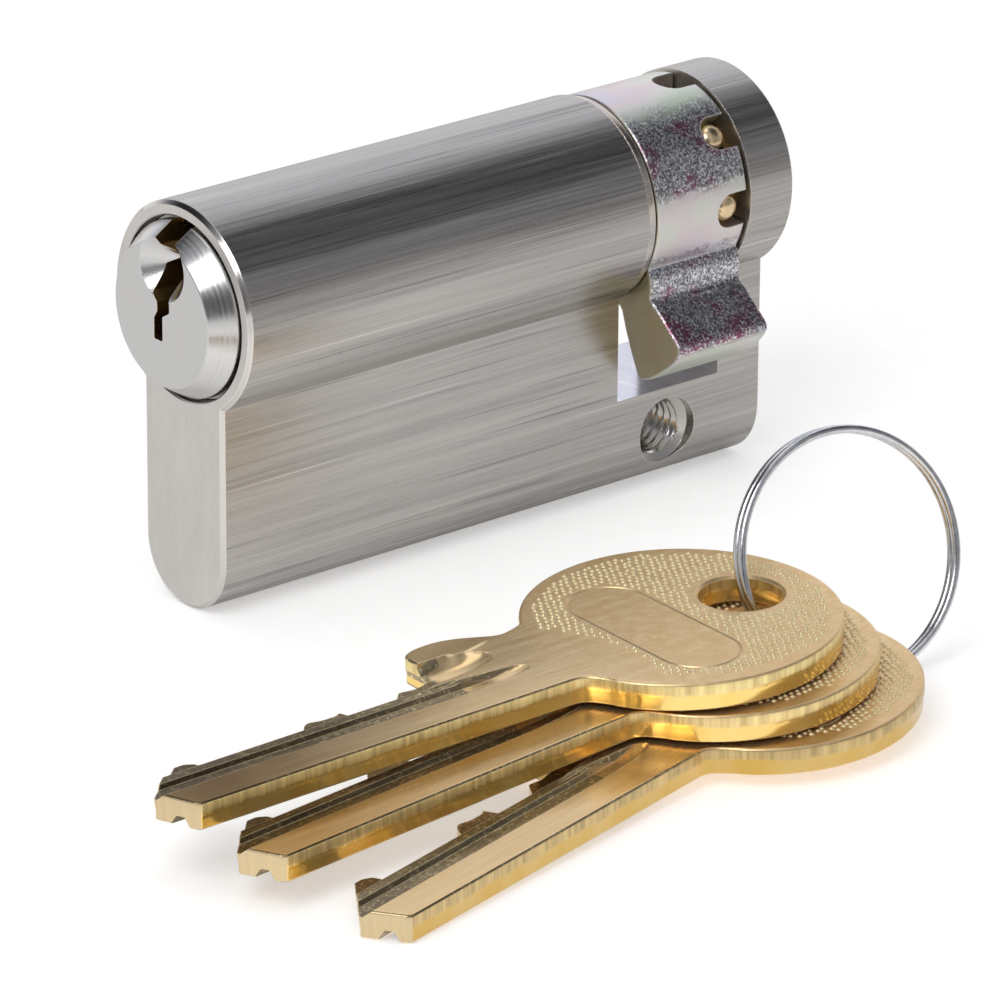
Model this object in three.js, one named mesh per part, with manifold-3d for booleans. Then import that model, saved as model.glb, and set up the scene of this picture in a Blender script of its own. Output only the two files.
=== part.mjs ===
// Euro-profile half cylinder, long and closed at the back, with its three keys on a split ring.
// Lengths are millimetres and angles are degrees. Everything is drawn with the barrel's axis along Y
// at x = z = 0 and the housing's front plane at y = 0. The last group moves the origin to the centre
// of the fixing screw's hole: +Y runs from the key face to the closed end, +Z from the web to the
// barrel, and +X is on the right when the key face is looked at.
import * as THREE from 'three';
import { mergeVertices } from 'three/addons/utils/BufferGeometryUtils.js';
import Module from 'manifold-3d';

const wasm = await Module();
wasm.setup();

// Clearances
const TOUCH_GAP = 0.3;
const RUN_GAP = 0.15;
const CUT_OVERRUN = 1.2;

// Housing: the standard profile, 17 mm barrel, 33 mm high; the front and rear lengths meet at
// the middle of the cam's slot and of the fixing screw's hole
const BARREL_RADIUS = 8.5;
const PROFILE_HEIGHT = 33;
const WEB_WIDTH = 9.8;
const FRONT_LENGTH = 45;
const REAR_LENGTH = 10;
const HOUSING_LENGTH = FRONT_LENGTH + REAR_LENGTH;
const HOLE_DROP = 19.45;
const SCREW_HOLE_RADIUS = 2.5;
const SCREW_MOUTH_RADIUS = 2.85;
const SCREW_MOUTH_DEPTH = 0.5;
const END_CHAMFER = 0.45;
const SLOT_WIDTH = 10.6;
const SLOT_FLOOR_DROP = 15.72;
const BORE_RADIUS = 6.5;
const COUNTERBORE_RADIUS = 7.35;
const COUNTERBORE_DEPTH = 1.4;
const TAIL_BORE_RADIUS = 4.05;
const TAIL_BORE_DEPTH = 3.2;

// Pin chambers, in a row under the bore
const CHAMBER_COUNT = 5;
const CHAMBER_RADIUS = 1.5;
const FIRST_CHAMBER = 4.35;
const CHAMBER_PITCH = 3.9;
const CHAMBER_TOP = 2.3;
const CHAMBER_PLUG_LENGTH = 1.9;
const PIN_RADIUS = CHAMBER_RADIUS - RUN_GAP;
const PIN_TIP_RADIUS = 0.45;
const PIN_TIP_LENGTH = 0.9;
const PIN_FOOT_DROP = 6.15;
const PIN_EDGE = 0.2;
const DRIVER_TOP_DROP = 6.6;
const DRIVER_LENGTH = 5;
const SPRING_WIRE = 0.4;
const SPRING_RADIUS = 1;
const SPRING_CURLS = 6;

// Plug: its head stands out of the front plane behind a bevel
const PLUG_RADIUS = BORE_RADIUS - RUN_GAP;
const PLUG_LENGTH = 29.6;
const PLUG_FACE_OUT = 2;
const PLUG_FACE_RADIUS = 5.75;
const PLUG_HEAD_RADIUS = COUNTERBORE_RADIUS - TOUCH_GAP;
const PLUG_HEAD_DEPTH = COUNTERBORE_DEPTH - TOUCH_GAP;
const DISH_RADIUS = 2.75;
const DISH_HEIGHT = 3.9;
const DISH_OFFSET = 0.2;
const TONGUE_THICKNESS = 3;
const TONGUE_LENGTH = 2;
const TONGUE_HALF_WIDTH = 5;

// Key blade. Its section is a table of shares of the blade's height, counted from the back
// edge, and of the key's thickness, counted from the underside; the keyway is the same section
// with play all round.
const KEY_THICKNESS = 2.2;
const BLADE_HEIGHT = 8;
const BLADE_LENGTH = 27.55;
const KEY_PLAY = 0.1;
const KEY_BACK_HEIGHT = 6;
const KEY_SIDE = 0.1;
const UPPER_FACE_SHARES = [
  [0, 1], [0.34, 1], [0.42, 0.75], [0.56, 0.75], [0.6, 0.895], [0.7, 0.895], [0.763, 0.5], [1, 0.5],
];
const UNDER_FACE_SHARES = [
  [0, 0], [0.1, 0], [0.16, 0.36], [0.24, 0.36], [0.3, 0],
  [0.55, 0], [0.635, 0.295], [0.725, 0.295], [0.8, 0.114], [1, 0.114],
];
// The cut edge, from the tip to the stop: shares of the blade's length and of its height.
const CUT_EDGE_SHARES = [
  [0.128, 0.99], [0.16, 0.985], [0.184, 0.93], [0.195, 0.756], [0.288, 0.72], [0.367, 0.74],
  [0.392, 0.795], [0.414, 0.762], [0.496, 0.762], [0.541, 0.955], [0.56, 0.99], [0.6, 0.95],
  [0.645, 0.95], [0.662, 0.985], [0.684, 0.74], [0.783, 0.729], [0.821, 0.85], [0.858, 0.985],
  [0.905, 0.955], [0.955, 0.99],
];
const KEY_TIP_REACH = 1.27;
const KEY_TIP_HEIGHT = 3.58;
const KEY_TIP_CORNER = 0.35;
const KEY_EDGE = 0.2;

// Key bow: a round plate about its own centre, fuller on its near side; corners are shares of its radius
const BOW_RADIUS = 12.1;
const BOW_CENTRE_ALONG = 47.1;
const BOW_CENTRE_ACROSS = 4;
const BOW_FIRST_ANGLE = -78;
const BOW_LAST_ANGLE = 149;
const BOW_STEPS = 31;
const NECK_NEAR_SHARES = [
  [-1.04, -0.345], [-0.955, -0.465], [-0.896, -0.582], [-0.816, -0.685], [-0.681, -0.811],
  [-0.524, -0.908], [-0.355, -0.974], [-0.178, -1.009], [0, -1.0135],
];
const NECK_FAR_SHARES = [
  [-0.945, 0.48], [-1.063, 0.456], [-1.31, 0.592], [-1.438, 0.628], [-1.603, 0.624], [-1.715, 0.576],
];
const KEY_HOLE_ALONG = 52.8;
const KEY_HOLE_RADIUS = 3.2;
const GROOVE_END_ALONG = 33.6;
const GROOVE_END_RISE = 1.6;

// Drive core: runs from the plug to the closed end, through the cam
const CORE_CAM_RADIUS = 5.95;
const CLIP_GROOVE_RADIUS = 5.45;
const CORE_TAIL_RADIUS = TAIL_BORE_RADIUS - RUN_GAP;

// Retaining clip and cam, side by side in the slot
const CLIP_THICKNESS = 0.65;
const CLIP_INNER_RADIUS = 5.7;
const CLIP_MOUTH_HALF_ANGLE = 24;
const SLOT_GAP = 0.2;
const CAM_RADIUS = 8.3;
const CAM_BORE_RADIUS = CORE_CAM_RADIUS + SLOT_GAP;
const CAM_NOSE_RADIUS = 15.3;
// The nose's outline seen from the front: shares of its tip's radius, and angles.
const NOSE_SHARES = [
  [0.5, -28], [0.555, -30], [0.608, -34], [0.657, -41.7], [0.714, -40.9], [0.808, -40.9],
  [0.966, -40.8], [0.99, -43.3], [1, -47], [1, -50.5], [1, -54], [1, -57.5], [1, -61],
  [0.99, -63.5], [0.955, -65.9], [0.846, -66.3], [0.712, -66.1], [0.6, -65], [0.54, -70], [0.5, -74],
];
const NOTCH_COUNT = 8;
const NOTCH_PHASE = -4;
const NOTCH_RADIUS = 1.45;
const NOTCH_BEHIND_MIDDLE = 3.5;
const NOTCH_FROM_FRONT = FRONT_LENGTH + NOTCH_BEHIND_MIDDLE;
const NOTCH_REACH = 8.7;

// Detent pins: two of the notches are filled by a sprung pin of the core
const DETENT_NOTCHES = [0, 1];
const DETENT_RADIUS = 1.12;
const DETENT_HOLE_FLOOR = 3.6;
const DETENT_FOOT = 5;
const DETENT_TOP = 8.1;
const DETENT_DOME = 0.75;
// The dome from its edge to its crown: shares of the pin's radius and of the dome's height.
const DETENT_DOME_SHARES = [[1, 0], [0.87, 0.5], [0.5, 0.87], [0, 1]];

// Keys on the table, fanned out in one stack that leans on the ring. Each one's place in the stack
// is where its back edge meets its tip, across and along as shares of the bow's radius.
const KEY_POSES = [
  { name: 'key_1', layer: 2, placeShares: [-1.1116, -0.5909], yaw: -1.84 },
  { name: 'key_2', layer: 1, placeShares: [-0.5727, -0.3826], yaw: 3.94 },
  { name: 'key_3', layer: 0, placeShares: [0.1893, -0.0645], yaw: 12.45 },
];
const STACK_TILT = 1.6;
const STACK_HEADING = 8;
const STACK_ACROSS = 56;
const STACK_BEFORE_FRONT = 24;
const STACK_LIFT = 0.1;

// Split ring: two turns of wire through the keys' holes
const RING_ACROSS = 41.2;
const RING_BEHIND_FRONT = 31.38;
const RING_CENTRE_HEIGHT = 9.5;
const RING_RADIUS = 9.46;
const RING_WIRE = 0.66;
const RING_PITCH = 1.08;
const RING_TURNS = 1.94;
const RING_HEADING = -10.1;
const RING_RISE = 19.9;
const RING_SPIN = 300;

// Counts of flat steps: round a circle, along an arc, along a wire and round it.
const ROUND_STEPS = 48;
const PIN_STEPS = 24;
const KEY_HOLE_STEPS = 32;
const BARREL_STEPS = 44;
const WEB_ROUND_STEPS = 20;
const NOTCH_STEPS = 12;
const SPRING_STEPS = 8;
const SPRING_SIDES = 5;
const RING_STEPS = 48;
const RING_SIDES = 8;
const CHECKS_PER_STEP = 4;
const RAD = Math.PI / 180;

// Tools

/** A closed solid from a geometry: points merged, flat triangles dropped, facing outwards. */
function solid(geometry) {
  const bare = geometry.clone();
  bare.deleteAttribute('normal');
  bare.deleteAttribute('uv');
  const merged = mergeVertices(bare);
  const place = merged.attributes.position.array;
  const corners = [];
  let volume = 0;
  for (let i = 0; i < merged.index.count; i += 3) {
    const [a, b, c] = [0, 1, 2].map((k) => merged.index.getX(i + k));
    if (a === b || b === c || a === c) continue;
    corners.push([a, b, c]);
    const [p, q, r] = [a, b, c].map((n) => new THREE.Vector3().fromArray(place, n * 3));
    volume += p.dot(q.cross(r));
  }
  const order = volume < 0 ? corners.map(([a, b, c]) => [a, c, b]) : corners;
  return new wasm.Manifold(new wasm.Mesh({
    numProp: 3,
    vertProperties: new Float32Array(place),
    triVerts: new Uint32Array(order.flat()),
  }));
}

/** The geometry of a solid, with normals averaged at its points. */
function geometryOf(body) {
  const mesh = body.getMesh();
  const places = new Float32Array(mesh.numVert * 3);
  for (let i = 0; i < mesh.numVert; i += 1) {
    for (let k = 0; k < 3; k += 1) places[i * 3 + k] = mesh.vertProperties[i * mesh.numProp + k];
  }
  const geometry = new THREE.BufferGeometry();
  geometry.setAttribute('position', new THREE.BufferAttribute(places, 3));
  geometry.setIndex([...mesh.triVerts]);
  geometry.computeVertexNormals();
  return geometry;
}

/** A round bar along Y from one height to another. */
function roundBar(radius, from, to, steps = ROUND_STEPS) {
  const bar = new THREE.CylinderGeometry(radius, radius, to - from, steps);
  return bar.translate(0, (from + to) / 2, 0);
}

/** A body turned about Y from a closed outline of [radius, place along Y]. */
function turned(outline, steps = ROUND_STEPS) {
  const points = outline.map(([radius, along]) => new THREE.Vector2(radius, along));
  return new THREE.LatheGeometry(points, steps);
}

/** A block between two corners. */
function block(low, high) {
  const size = high.map((value, i) => value - low[i]);
  const middle = high.map((value, i) => (value + low[i]) / 2);
  return new THREE.BoxGeometry(...size).translate(...middle);
}

/** An outline of [x, y] pairs as a shape. */
function shapeOf(outline) {
  return new THREE.Shape(outline.map(([x, y]) => new THREE.Vector2(x, y)));
}

/** An outline of [x, z] pairs carried along Y between two places. */
function prismAlongY(outline, from, to) {
  const prism = new THREE.ExtrudeGeometry(shapeOf(outline), { depth: to - from, bevelEnabled: false });
  return prism.rotateX(90 * RAD).translate(0, to, 0);
}

/** Points on an arc about a centre, both ends included. */
function arc(centreX, centreY, radius, fromAngle, toAngle, steps) {
  return Array.from({ length: steps + 1 }, (_, i) => {
    const angle = (fromAngle + (toAngle - fromAngle) * i / steps) * RAD;
    return [centreX + radius * Math.cos(angle), centreY + radius * Math.sin(angle)];
  });
}

/** A round wire carried along a coil about Z; turns and rise may be any number. */
class Coil extends THREE.Curve {
  constructor(radius, rise, turns) {
    super();
    Object.assign(this, { radius, rise, turns });
  }

  getPoint(t, target = new THREE.Vector3()) {
    const angle = t * this.turns * 2 * Math.PI;
    const height = (t - 0.5) * this.rise;
    return target.set(this.radius * Math.cos(angle), this.radius * Math.sin(angle), height);
  }
}

/** The wire's body along a coil. The least gap between its turns is measured and printed. */
function wound(name, coil, wire, stepsPerTurn, sides) {
  const outline = arc(0, 0, wire / 2, 0, 360, sides).slice(0, sides);
  const steps = Math.round(coil.turns * stepsPerTurn);
  const points = coil.getPoints(steps * CHECKS_PER_STEP);
  const halfTurn = stepsPerTurn * CHECKS_PER_STEP / 2;
  let least = Infinity;
  for (let i = 0; i < points.length; i += 1) {
    for (let j = i + halfTurn; j < points.length; j += 1) {
      least = Math.min(least, points[i].distanceTo(points[j]) - wire);
    }
  }
  console.log(`${name}: least gap between turns ${least.toFixed(3)} mm`);
  return new THREE.ExtrudeGeometry(shapeOf(outline), { steps, extrudePath: coil, bevelEnabled: false });
}

/** The value of a table at a place, on straight lines between its rows. */
function tableAt(rows, place) {
  const next = rows.findIndex(([x]) => x >= place);
  if (next < 1) return rows[Math.max(next, 0)][1];
  const [[x0, y0], [x1, y1]] = [rows[next - 1], rows[next]];
  return y0 + (y1 - y0) * (place - x0) / (x1 - x0);
}

// Finishes
const FINISHES = {
  nickel: { color: 0xb4b0aa, roughness: 0.32, metalness: 1 },
  plugNickel: { color: 0xc9cacb, roughness: 0.22, metalness: 1 },
  brass: { color: 0xc79a4e, roughness: 0.3, metalness: 1 },
  keyBrass: { color: 0xd3b075, roughness: 0.28, metalness: 1 },
  spring: { color: 0xb9bcc0, roughness: 0.3, metalness: 1 },
  clip: { color: 0xc4b79b, roughness: 0.3, metalness: 1 },
  zinc: { color: 0xb9ab7c, roughness: 0.38, metalness: 0.95 },
  ring: { color: 0xd4d6d9, roughness: 0.16, metalness: 1 },
};

const lock = new THREE.Group();
lock.name = 'euro_cylinder';

/** Adds one named piece to a group, with a material of its own. */
function addPiece(group, name, geometry, finish) {
  const material = new THREE.MeshStandardMaterial({ ...FINISHES[finish] });
  material.name = name;
  const piece = new THREE.Mesh(geometry, material);
  piece.name = name;
  group.add(piece);
  return piece;
}

// Housing
const webHalf = WEB_WIDTH / 2;
const webRoundHeight = BARREL_RADIUS - PROFILE_HEIGHT + webHalf;
const neckAngle = -Math.acos(webHalf / BARREL_RADIUS) / RAD;
const housingOutline = [
  ...arc(0, 0, BARREL_RADIUS, neckAngle, 180 - neckAngle, BARREL_STEPS),
  ...arc(0, webRoundHeight, webHalf, 180, 360, WEB_ROUND_STEPS),
];
const slotFront = FRONT_LENGTH - SLOT_WIDTH / 2;
const slotRear = FRONT_LENGTH + SLOT_WIDTH / 2;
const chamberPlaces = Array.from({ length: CHAMBER_COUNT }, (_, i) => FIRST_CHAMBER + i * CHAMBER_PITCH);
const webBottom = BARREL_RADIUS - PROFILE_HEIGHT;

/** An upright round hole through a chamber's place along Y, between two heights. */
function chamberAt(place, low, high) {
  return solid(roundBar(CHAMBER_RADIUS, low, high, PIN_STEPS).rotateX(90 * RAD).translate(0, place, 0));
}

/** The fixing screw's hole across the web, with a mouth at each side. */
function screwHole() {
  const past = webHalf + CUT_OVERRUN;
  const inside = webHalf - SCREW_MOUTH_DEPTH;
  const flare = (SCREW_MOUTH_RADIUS - SCREW_HOLE_RADIUS) / SCREW_MOUTH_DEPTH;
  const wide = SCREW_MOUTH_RADIUS + CUT_OVERRUN * flare;
  const outline = [
    [0, -past], [wide, -past], [SCREW_HOLE_RADIUS, -inside],
    [SCREW_HOLE_RADIUS, inside], [wide, past], [0, past],
  ];
  return solid(turned(outline, PIN_STEPS).rotateZ(90 * RAD).translate(0, FRONT_LENGTH, -HOLE_DROP));
}

function housing() {
  const profile = new THREE.ExtrudeGeometry(shapeOf(housingOutline), {
    depth: HOUSING_LENGTH - 2 * END_CHAMFER,
    bevelEnabled: true,
    bevelThickness: END_CHAMFER,
    bevelSize: END_CHAMFER,
    bevelOffset: -END_CHAMFER,
    bevelSegments: 1,
  });
  profile.rotateX(90 * RAD).translate(0, HOUSING_LENGTH - END_CHAMFER, 0);
  const slotSide = BARREL_RADIUS + CUT_OVERRUN;
  const cuts = [
    solid(roundBar(BORE_RADIUS, -CUT_OVERRUN, slotFront + CUT_OVERRUN)),
    solid(roundBar(COUNTERBORE_RADIUS, -CUT_OVERRUN, COUNTERBORE_DEPTH)),
    solid(roundBar(TAIL_BORE_RADIUS, slotRear - CUT_OVERRUN, slotRear + TAIL_BORE_DEPTH)),
    solid(block([-slotSide, slotFront, -SLOT_FLOOR_DROP], [slotSide, slotRear, slotSide])),
    screwHole(),
    ...chamberPlaces.map((place) => chamberAt(place, webBottom - CUT_OVERRUN, -BORE_RADIUS + CUT_OVERRUN)),
  ];
  return cuts.reduce((body, cut) => body.subtract(cut), solid(profile));
}

addPiece(lock, 'housing', geometryOf(housing()), 'nickel');

// Plug and its keyway
const keyUnderside = KEY_SIDE - KEY_THICKNESS / 2;

/** The keyway's outline in the plug's face: the key's section with play, open at the plug's top. */
function keywayOutline() {
  const above = PLUG_HEAD_RADIUS + CUT_OVERRUN;
  const place = (share, side, play) => [keyUnderside + share * KEY_THICKNESS + play, side];
  const height = (share) => (share === 0 ? above : KEY_BACK_HEIGHT - share * BLADE_HEIGHT);
  const right = UPPER_FACE_SHARES.map(([v, w]) => place(w, height(v), KEY_PLAY));
  const left = UNDER_FACE_SHARES.map(([v, w]) => place(w, height(v), -KEY_PLAY));
  right[right.length - 1][1] -= KEY_PLAY;
  left[left.length - 1][1] -= KEY_PLAY;
  return [...left, ...right.reverse()];
}

function plug() {
  const body = turned([
    [0, -PLUG_FACE_OUT], [PLUG_FACE_RADIUS, -PLUG_FACE_OUT], [PLUG_HEAD_RADIUS, 0],
    [PLUG_HEAD_RADIUS, PLUG_HEAD_DEPTH], [PLUG_RADIUS, PLUG_HEAD_DEPTH],
    [PLUG_RADIUS, PLUG_LENGTH], [0, PLUG_LENGTH],
  ]);
  const dish = turned([
    [0, -PLUG_FACE_OUT - CUT_OVERRUN], [DISH_RADIUS + CUT_OVERRUN, -PLUG_FACE_OUT - CUT_OVERRUN],
    [0, DISH_RADIUS - PLUG_FACE_OUT],
  ], PIN_STEPS).translate(DISH_OFFSET, 0, DISH_HEIGHT);
  const half = TONGUE_THICKNESS / 2;
  const side = PLUG_RADIUS + CUT_OVERRUN;
  const cuts = [
    solid(prismAlongY(keywayOutline(), -PLUG_FACE_OUT - CUT_OVERRUN, PLUG_LENGTH + CUT_OVERRUN)),
    solid(dish),
    solid(block([-side, PLUG_LENGTH - TONGUE_LENGTH, -half], [side, PLUG_LENGTH + CUT_OVERRUN, half])),
    ...chamberPlaces.map((place) => chamberAt(place, -PLUG_RADIUS - CUT_OVERRUN, CHAMBER_TOP)),
  ];
  return cuts.reduce((rest, cut) => rest.subtract(cut), solid(body));
}

addPiece(lock, 'plug', geometryOf(plug()), 'plugNickel');

// Drive core: a tongue in the plug's back, the clip's groove, the cam's seat and the tail
const clipFront = slotFront + SLOT_GAP;
const clipRear = clipFront + CLIP_THICKNESS;
const camFront = clipRear + SLOT_GAP;
const camRear = slotRear - SLOT_GAP;
const coreFront = PLUG_LENGTH + TOUCH_GAP;
const tailEnd = slotRear + TAIL_BORE_DEPTH - TOUCH_GAP;

/** Turns a body that stands along Y so that it points out of the barrel's axis at a notch. */
function atNotch(geometry, index, along) {
  const angle = (NOTCH_PHASE + index * 360 / NOTCH_COUNT) * RAD;
  return geometry.rotateZ(-90 * RAD).rotateY(-angle).translate(0, along, 0);
}

function driveCore() {
  const grooveFront = clipFront - RUN_GAP;
  const grooveRear = clipRear + RUN_GAP;
  const body = turned([
    [0, coreFront], [PLUG_RADIUS, coreFront], [PLUG_RADIUS, grooveFront],
    [CLIP_GROOVE_RADIUS, grooveFront], [CLIP_GROOVE_RADIUS, grooveRear],
    [CORE_CAM_RADIUS, grooveRear], [CORE_CAM_RADIUS, camRear],
    [CORE_TAIL_RADIUS, camRear], [CORE_TAIL_RADIUS, tailEnd], [0, tailEnd],
  ]);
  const half = TONGUE_THICKNESS / 2 - RUN_GAP;
  const tongueFront = PLUG_LENGTH - TONGUE_LENGTH + TOUCH_GAP;
  const tongueRear = coreFront + CUT_OVERRUN;
  const tongue = block([-TONGUE_HALF_WIDTH, tongueFront, -half], [TONGUE_HALF_WIDTH, tongueRear, half]);
  const holeRadius = DETENT_RADIUS + RUN_GAP;
  const holes = DETENT_NOTCHES.map((index) => {
    const hole = roundBar(holeRadius, DETENT_HOLE_FLOOR, CORE_CAM_RADIUS + CUT_OVERRUN, PIN_STEPS);
    return solid(atNotch(hole, index, NOTCH_FROM_FRONT));
  });
  return holes.reduce((rest, hole) => rest.subtract(hole), solid(body).add(solid(tongue)));
}

addPiece(lock, 'drive_core', geometryOf(driveCore()), 'brass');

// Retaining clip: an open washer that snaps into the core's groove from below
function retainingClip() {
  const washer = turned([
    [CLIP_INNER_RADIUS, clipFront], [CAM_RADIUS, clipFront], [CAM_RADIUS, clipRear],
    [CLIP_INNER_RADIUS, clipRear], [CLIP_INNER_RADIUS, clipFront],
  ]);
  const reach = CAM_RADIUS * 2;
  const mouth = [
    [0, 0], [-reach * Math.sin(CLIP_MOUTH_HALF_ANGLE * RAD), -reach],
    [reach * Math.sin(CLIP_MOUTH_HALF_ANGLE * RAD), -reach],
  ];
  return solid(washer).subtract(solid(prismAlongY(mouth, clipFront - CUT_OVERRUN, clipRear + CUT_OVERRUN)));
}

addPiece(lock, 'retaining_clip', geometryOf(retainingClip()), 'clip');

// Cam: a sleeve with notches in its back edge and one nose
function cam() {
  const sleeve = solid(roundBar(CAM_RADIUS, camFront, camRear));
  const noseOutline = NOSE_SHARES.map(([share, angle]) => [
    share * CAM_NOSE_RADIUS * Math.cos(angle * RAD), share * CAM_NOSE_RADIUS * Math.sin(angle * RAD),
  ]);
  const nose = solid(prismAlongY(noseOutline, camFront, camRear));
  const bore = solid(roundBar(CAM_BORE_RADIUS, camFront - CUT_OVERRUN, camRear + CUT_OVERRUN));
  const open = camRear - NOTCH_FROM_FRONT + CUT_OVERRUN;
  const notchOutline = [
    ...arc(0, 0, NOTCH_RADIUS, 180, 360, NOTCH_STEPS), [NOTCH_RADIUS, open], [-NOTCH_RADIUS, open],
  ];
  const notchShape = shapeOf(notchOutline);
  let body = sleeve.add(nose).subtract(bore);
  for (let i = 0; i < NOTCH_COUNT; i += 1) {
    const notch = new THREE.ExtrudeGeometry(notchShape, { depth: NOTCH_REACH, bevelEnabled: false });
    notch.rotateY(90 * RAD).rotateY(-(NOTCH_PHASE + i * 360 / NOTCH_COUNT) * RAD);
    body = body.subtract(solid(notch.translate(0, NOTCH_FROM_FRONT, 0)));
  }
  return body;
}

addPiece(lock, 'cam', geometryOf(cam()), 'zinc');

// Detent pins
DETENT_NOTCHES.forEach((index) => {
  const waist = DETENT_TOP - DETENT_DOME;
  const pin = turned([
    [0, DETENT_FOOT], [DETENT_RADIUS, DETENT_FOOT],
    ...DETENT_DOME_SHARES.map(([out, up]) => [out * DETENT_RADIUS, waist + up * DETENT_DOME]),
  ], PIN_STEPS);
  const geometry = geometryOf(solid(atNotch(pin, index, NOTCH_FROM_FRONT)));
  addPiece(lock, `detent_pin_${index + 1}`, geometry, 'brass');
});

// Pin stacks, set as the cut key sets them: every stack parts at the plug's surface
const cutEdge = CUT_EDGE_SHARES.map(([u, v]) => [u * BLADE_LENGTH, v * BLADE_HEIGHT]);
const springLow = webBottom + CHAMBER_PLUG_LENGTH + TOUCH_GAP;
const springHigh = -DRIVER_TOP_DROP - DRIVER_LENGTH - TOUCH_GAP;

/** A body turned about an upright axis, moved to a chamber. */
function upright(outline, place) {
  return turned(outline, PIN_STEPS).rotateX(90 * RAD).translate(0, place, 0);
}

chamberPlaces.forEach((place, i) => {
  const top = KEY_BACK_HEIGHT - tableAt(cutEdge, BLADE_LENGTH - PLUG_FACE_OUT - place);
  const keyPin = upright([
    [0, -PIN_FOOT_DROP], [PIN_RADIUS - PIN_EDGE, -PIN_FOOT_DROP], [PIN_RADIUS, -PIN_FOOT_DROP + PIN_EDGE],
    [PIN_RADIUS, top - PIN_TIP_LENGTH], [PIN_TIP_RADIUS, top], [0, top],
  ], place);
  const foot = -DRIVER_TOP_DROP - DRIVER_LENGTH;
  const driver = upright([
    [0, foot], [PIN_RADIUS - PIN_EDGE, foot], [PIN_RADIUS, foot + PIN_EDGE],
    [PIN_RADIUS, -DRIVER_TOP_DROP - PIN_EDGE], [PIN_RADIUS - PIN_EDGE, -DRIVER_TOP_DROP],
    [0, -DRIVER_TOP_DROP],
  ], place);
  const coil = new Coil(SPRING_RADIUS, springHigh - springLow - SPRING_WIRE, SPRING_CURLS);
  const spring = wound(`driver_spring_${i + 1}`, coil, SPRING_WIRE, SPRING_STEPS, SPRING_SIDES);
  spring.translate(0, place, (springHigh + springLow) / 2);
  const webRound = roundBar(webHalf, place - CHAMBER_PITCH, place + CHAMBER_PITCH);
  webRound.translate(0, 0, webRoundHeight);
  const stopperHeight = webBottom + CHAMBER_PLUG_LENGTH;
  const stopper = roundBar(PIN_RADIUS, webBottom - CUT_OVERRUN, stopperHeight, PIN_STEPS);
  stopper.rotateX(90 * RAD).translate(0, place, 0);
  addPiece(lock, `key_pin_${i + 1}`, geometryOf(solid(keyPin)), 'brass');
  addPiece(lock, `driver_pin_${i + 1}`, geometryOf(solid(driver)), 'brass');
  addPiece(lock, `driver_spring_${i + 1}`, geometryOf(solid(spring)), 'spring');
  addPiece(lock, `chamber_plug_${i + 1}`, geometryOf(solid(stopper).intersect(solid(webRound))), 'brass');
});

// Keys
/** Where a share of the bow's radius lies, counted from the bow's centre. */
function bowPlace([along, across]) {
  return [BOW_CENTRE_ALONG + along * BOW_RADIUS, BOW_CENTRE_ACROSS + across * BOW_RADIUS];
}

/** Carries an outline of [across, up] along the key's length between two places. */
function prismAlongKey(outline, from, to) {
  const prism = new THREE.ExtrudeGeometry(shapeOf(outline), { depth: to - from, bevelEnabled: false });
  const turn = new THREE.Matrix4().makeBasis(
    new THREE.Vector3(0, 1, 0), new THREE.Vector3(0, 0, 1), new THREE.Vector3(1, 0, 0),
  );
  return prism.applyMatrix4(turn).translate(from, 0, 0);
}

/** The space that the blade's grooves leave on one face, ending in a slope in the neck. */
function faceCut(shares, outside) {
  const past = outside * (KEY_THICKNESS + CUT_OVERRUN) + (outside - 1) * CUT_OVERRUN;
  const rows = shares.slice(1).map(([v, w]) => [v * BLADE_HEIGHT, w * KEY_THICKNESS]);
  rows[rows.length - 1][0] += CUT_OVERRUN;
  const last = rows[rows.length - 1];
  const outline = [...rows, [last[0], past], [rows[0][0], past]];
  const grooves = solid(prismAlongKey(outline, -KEY_TIP_REACH - CUT_OVERRUN, GROOVE_END_ALONG));
  const face = outside * KEY_THICKNESS;
  const start = -KEY_TIP_REACH - 2 * CUT_OVERRUN;
  const sideways = shapeOf([
    [start, KEY_THICKNESS - face], [GROOVE_END_ALONG - GROOVE_END_RISE, KEY_THICKNESS - face],
    [GROOVE_END_ALONG, face], [GROOVE_END_ALONG, past], [start, past],
  ]);
  const reach = BLADE_HEIGHT + 2 * CUT_OVERRUN;
  const runOut = new THREE.ExtrudeGeometry(sideways, { depth: reach, bevelEnabled: false });
  runOut.rotateX(90 * RAD).translate(0, reach, 0);
  return grooves.intersect(solid(runOut));
}

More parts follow.
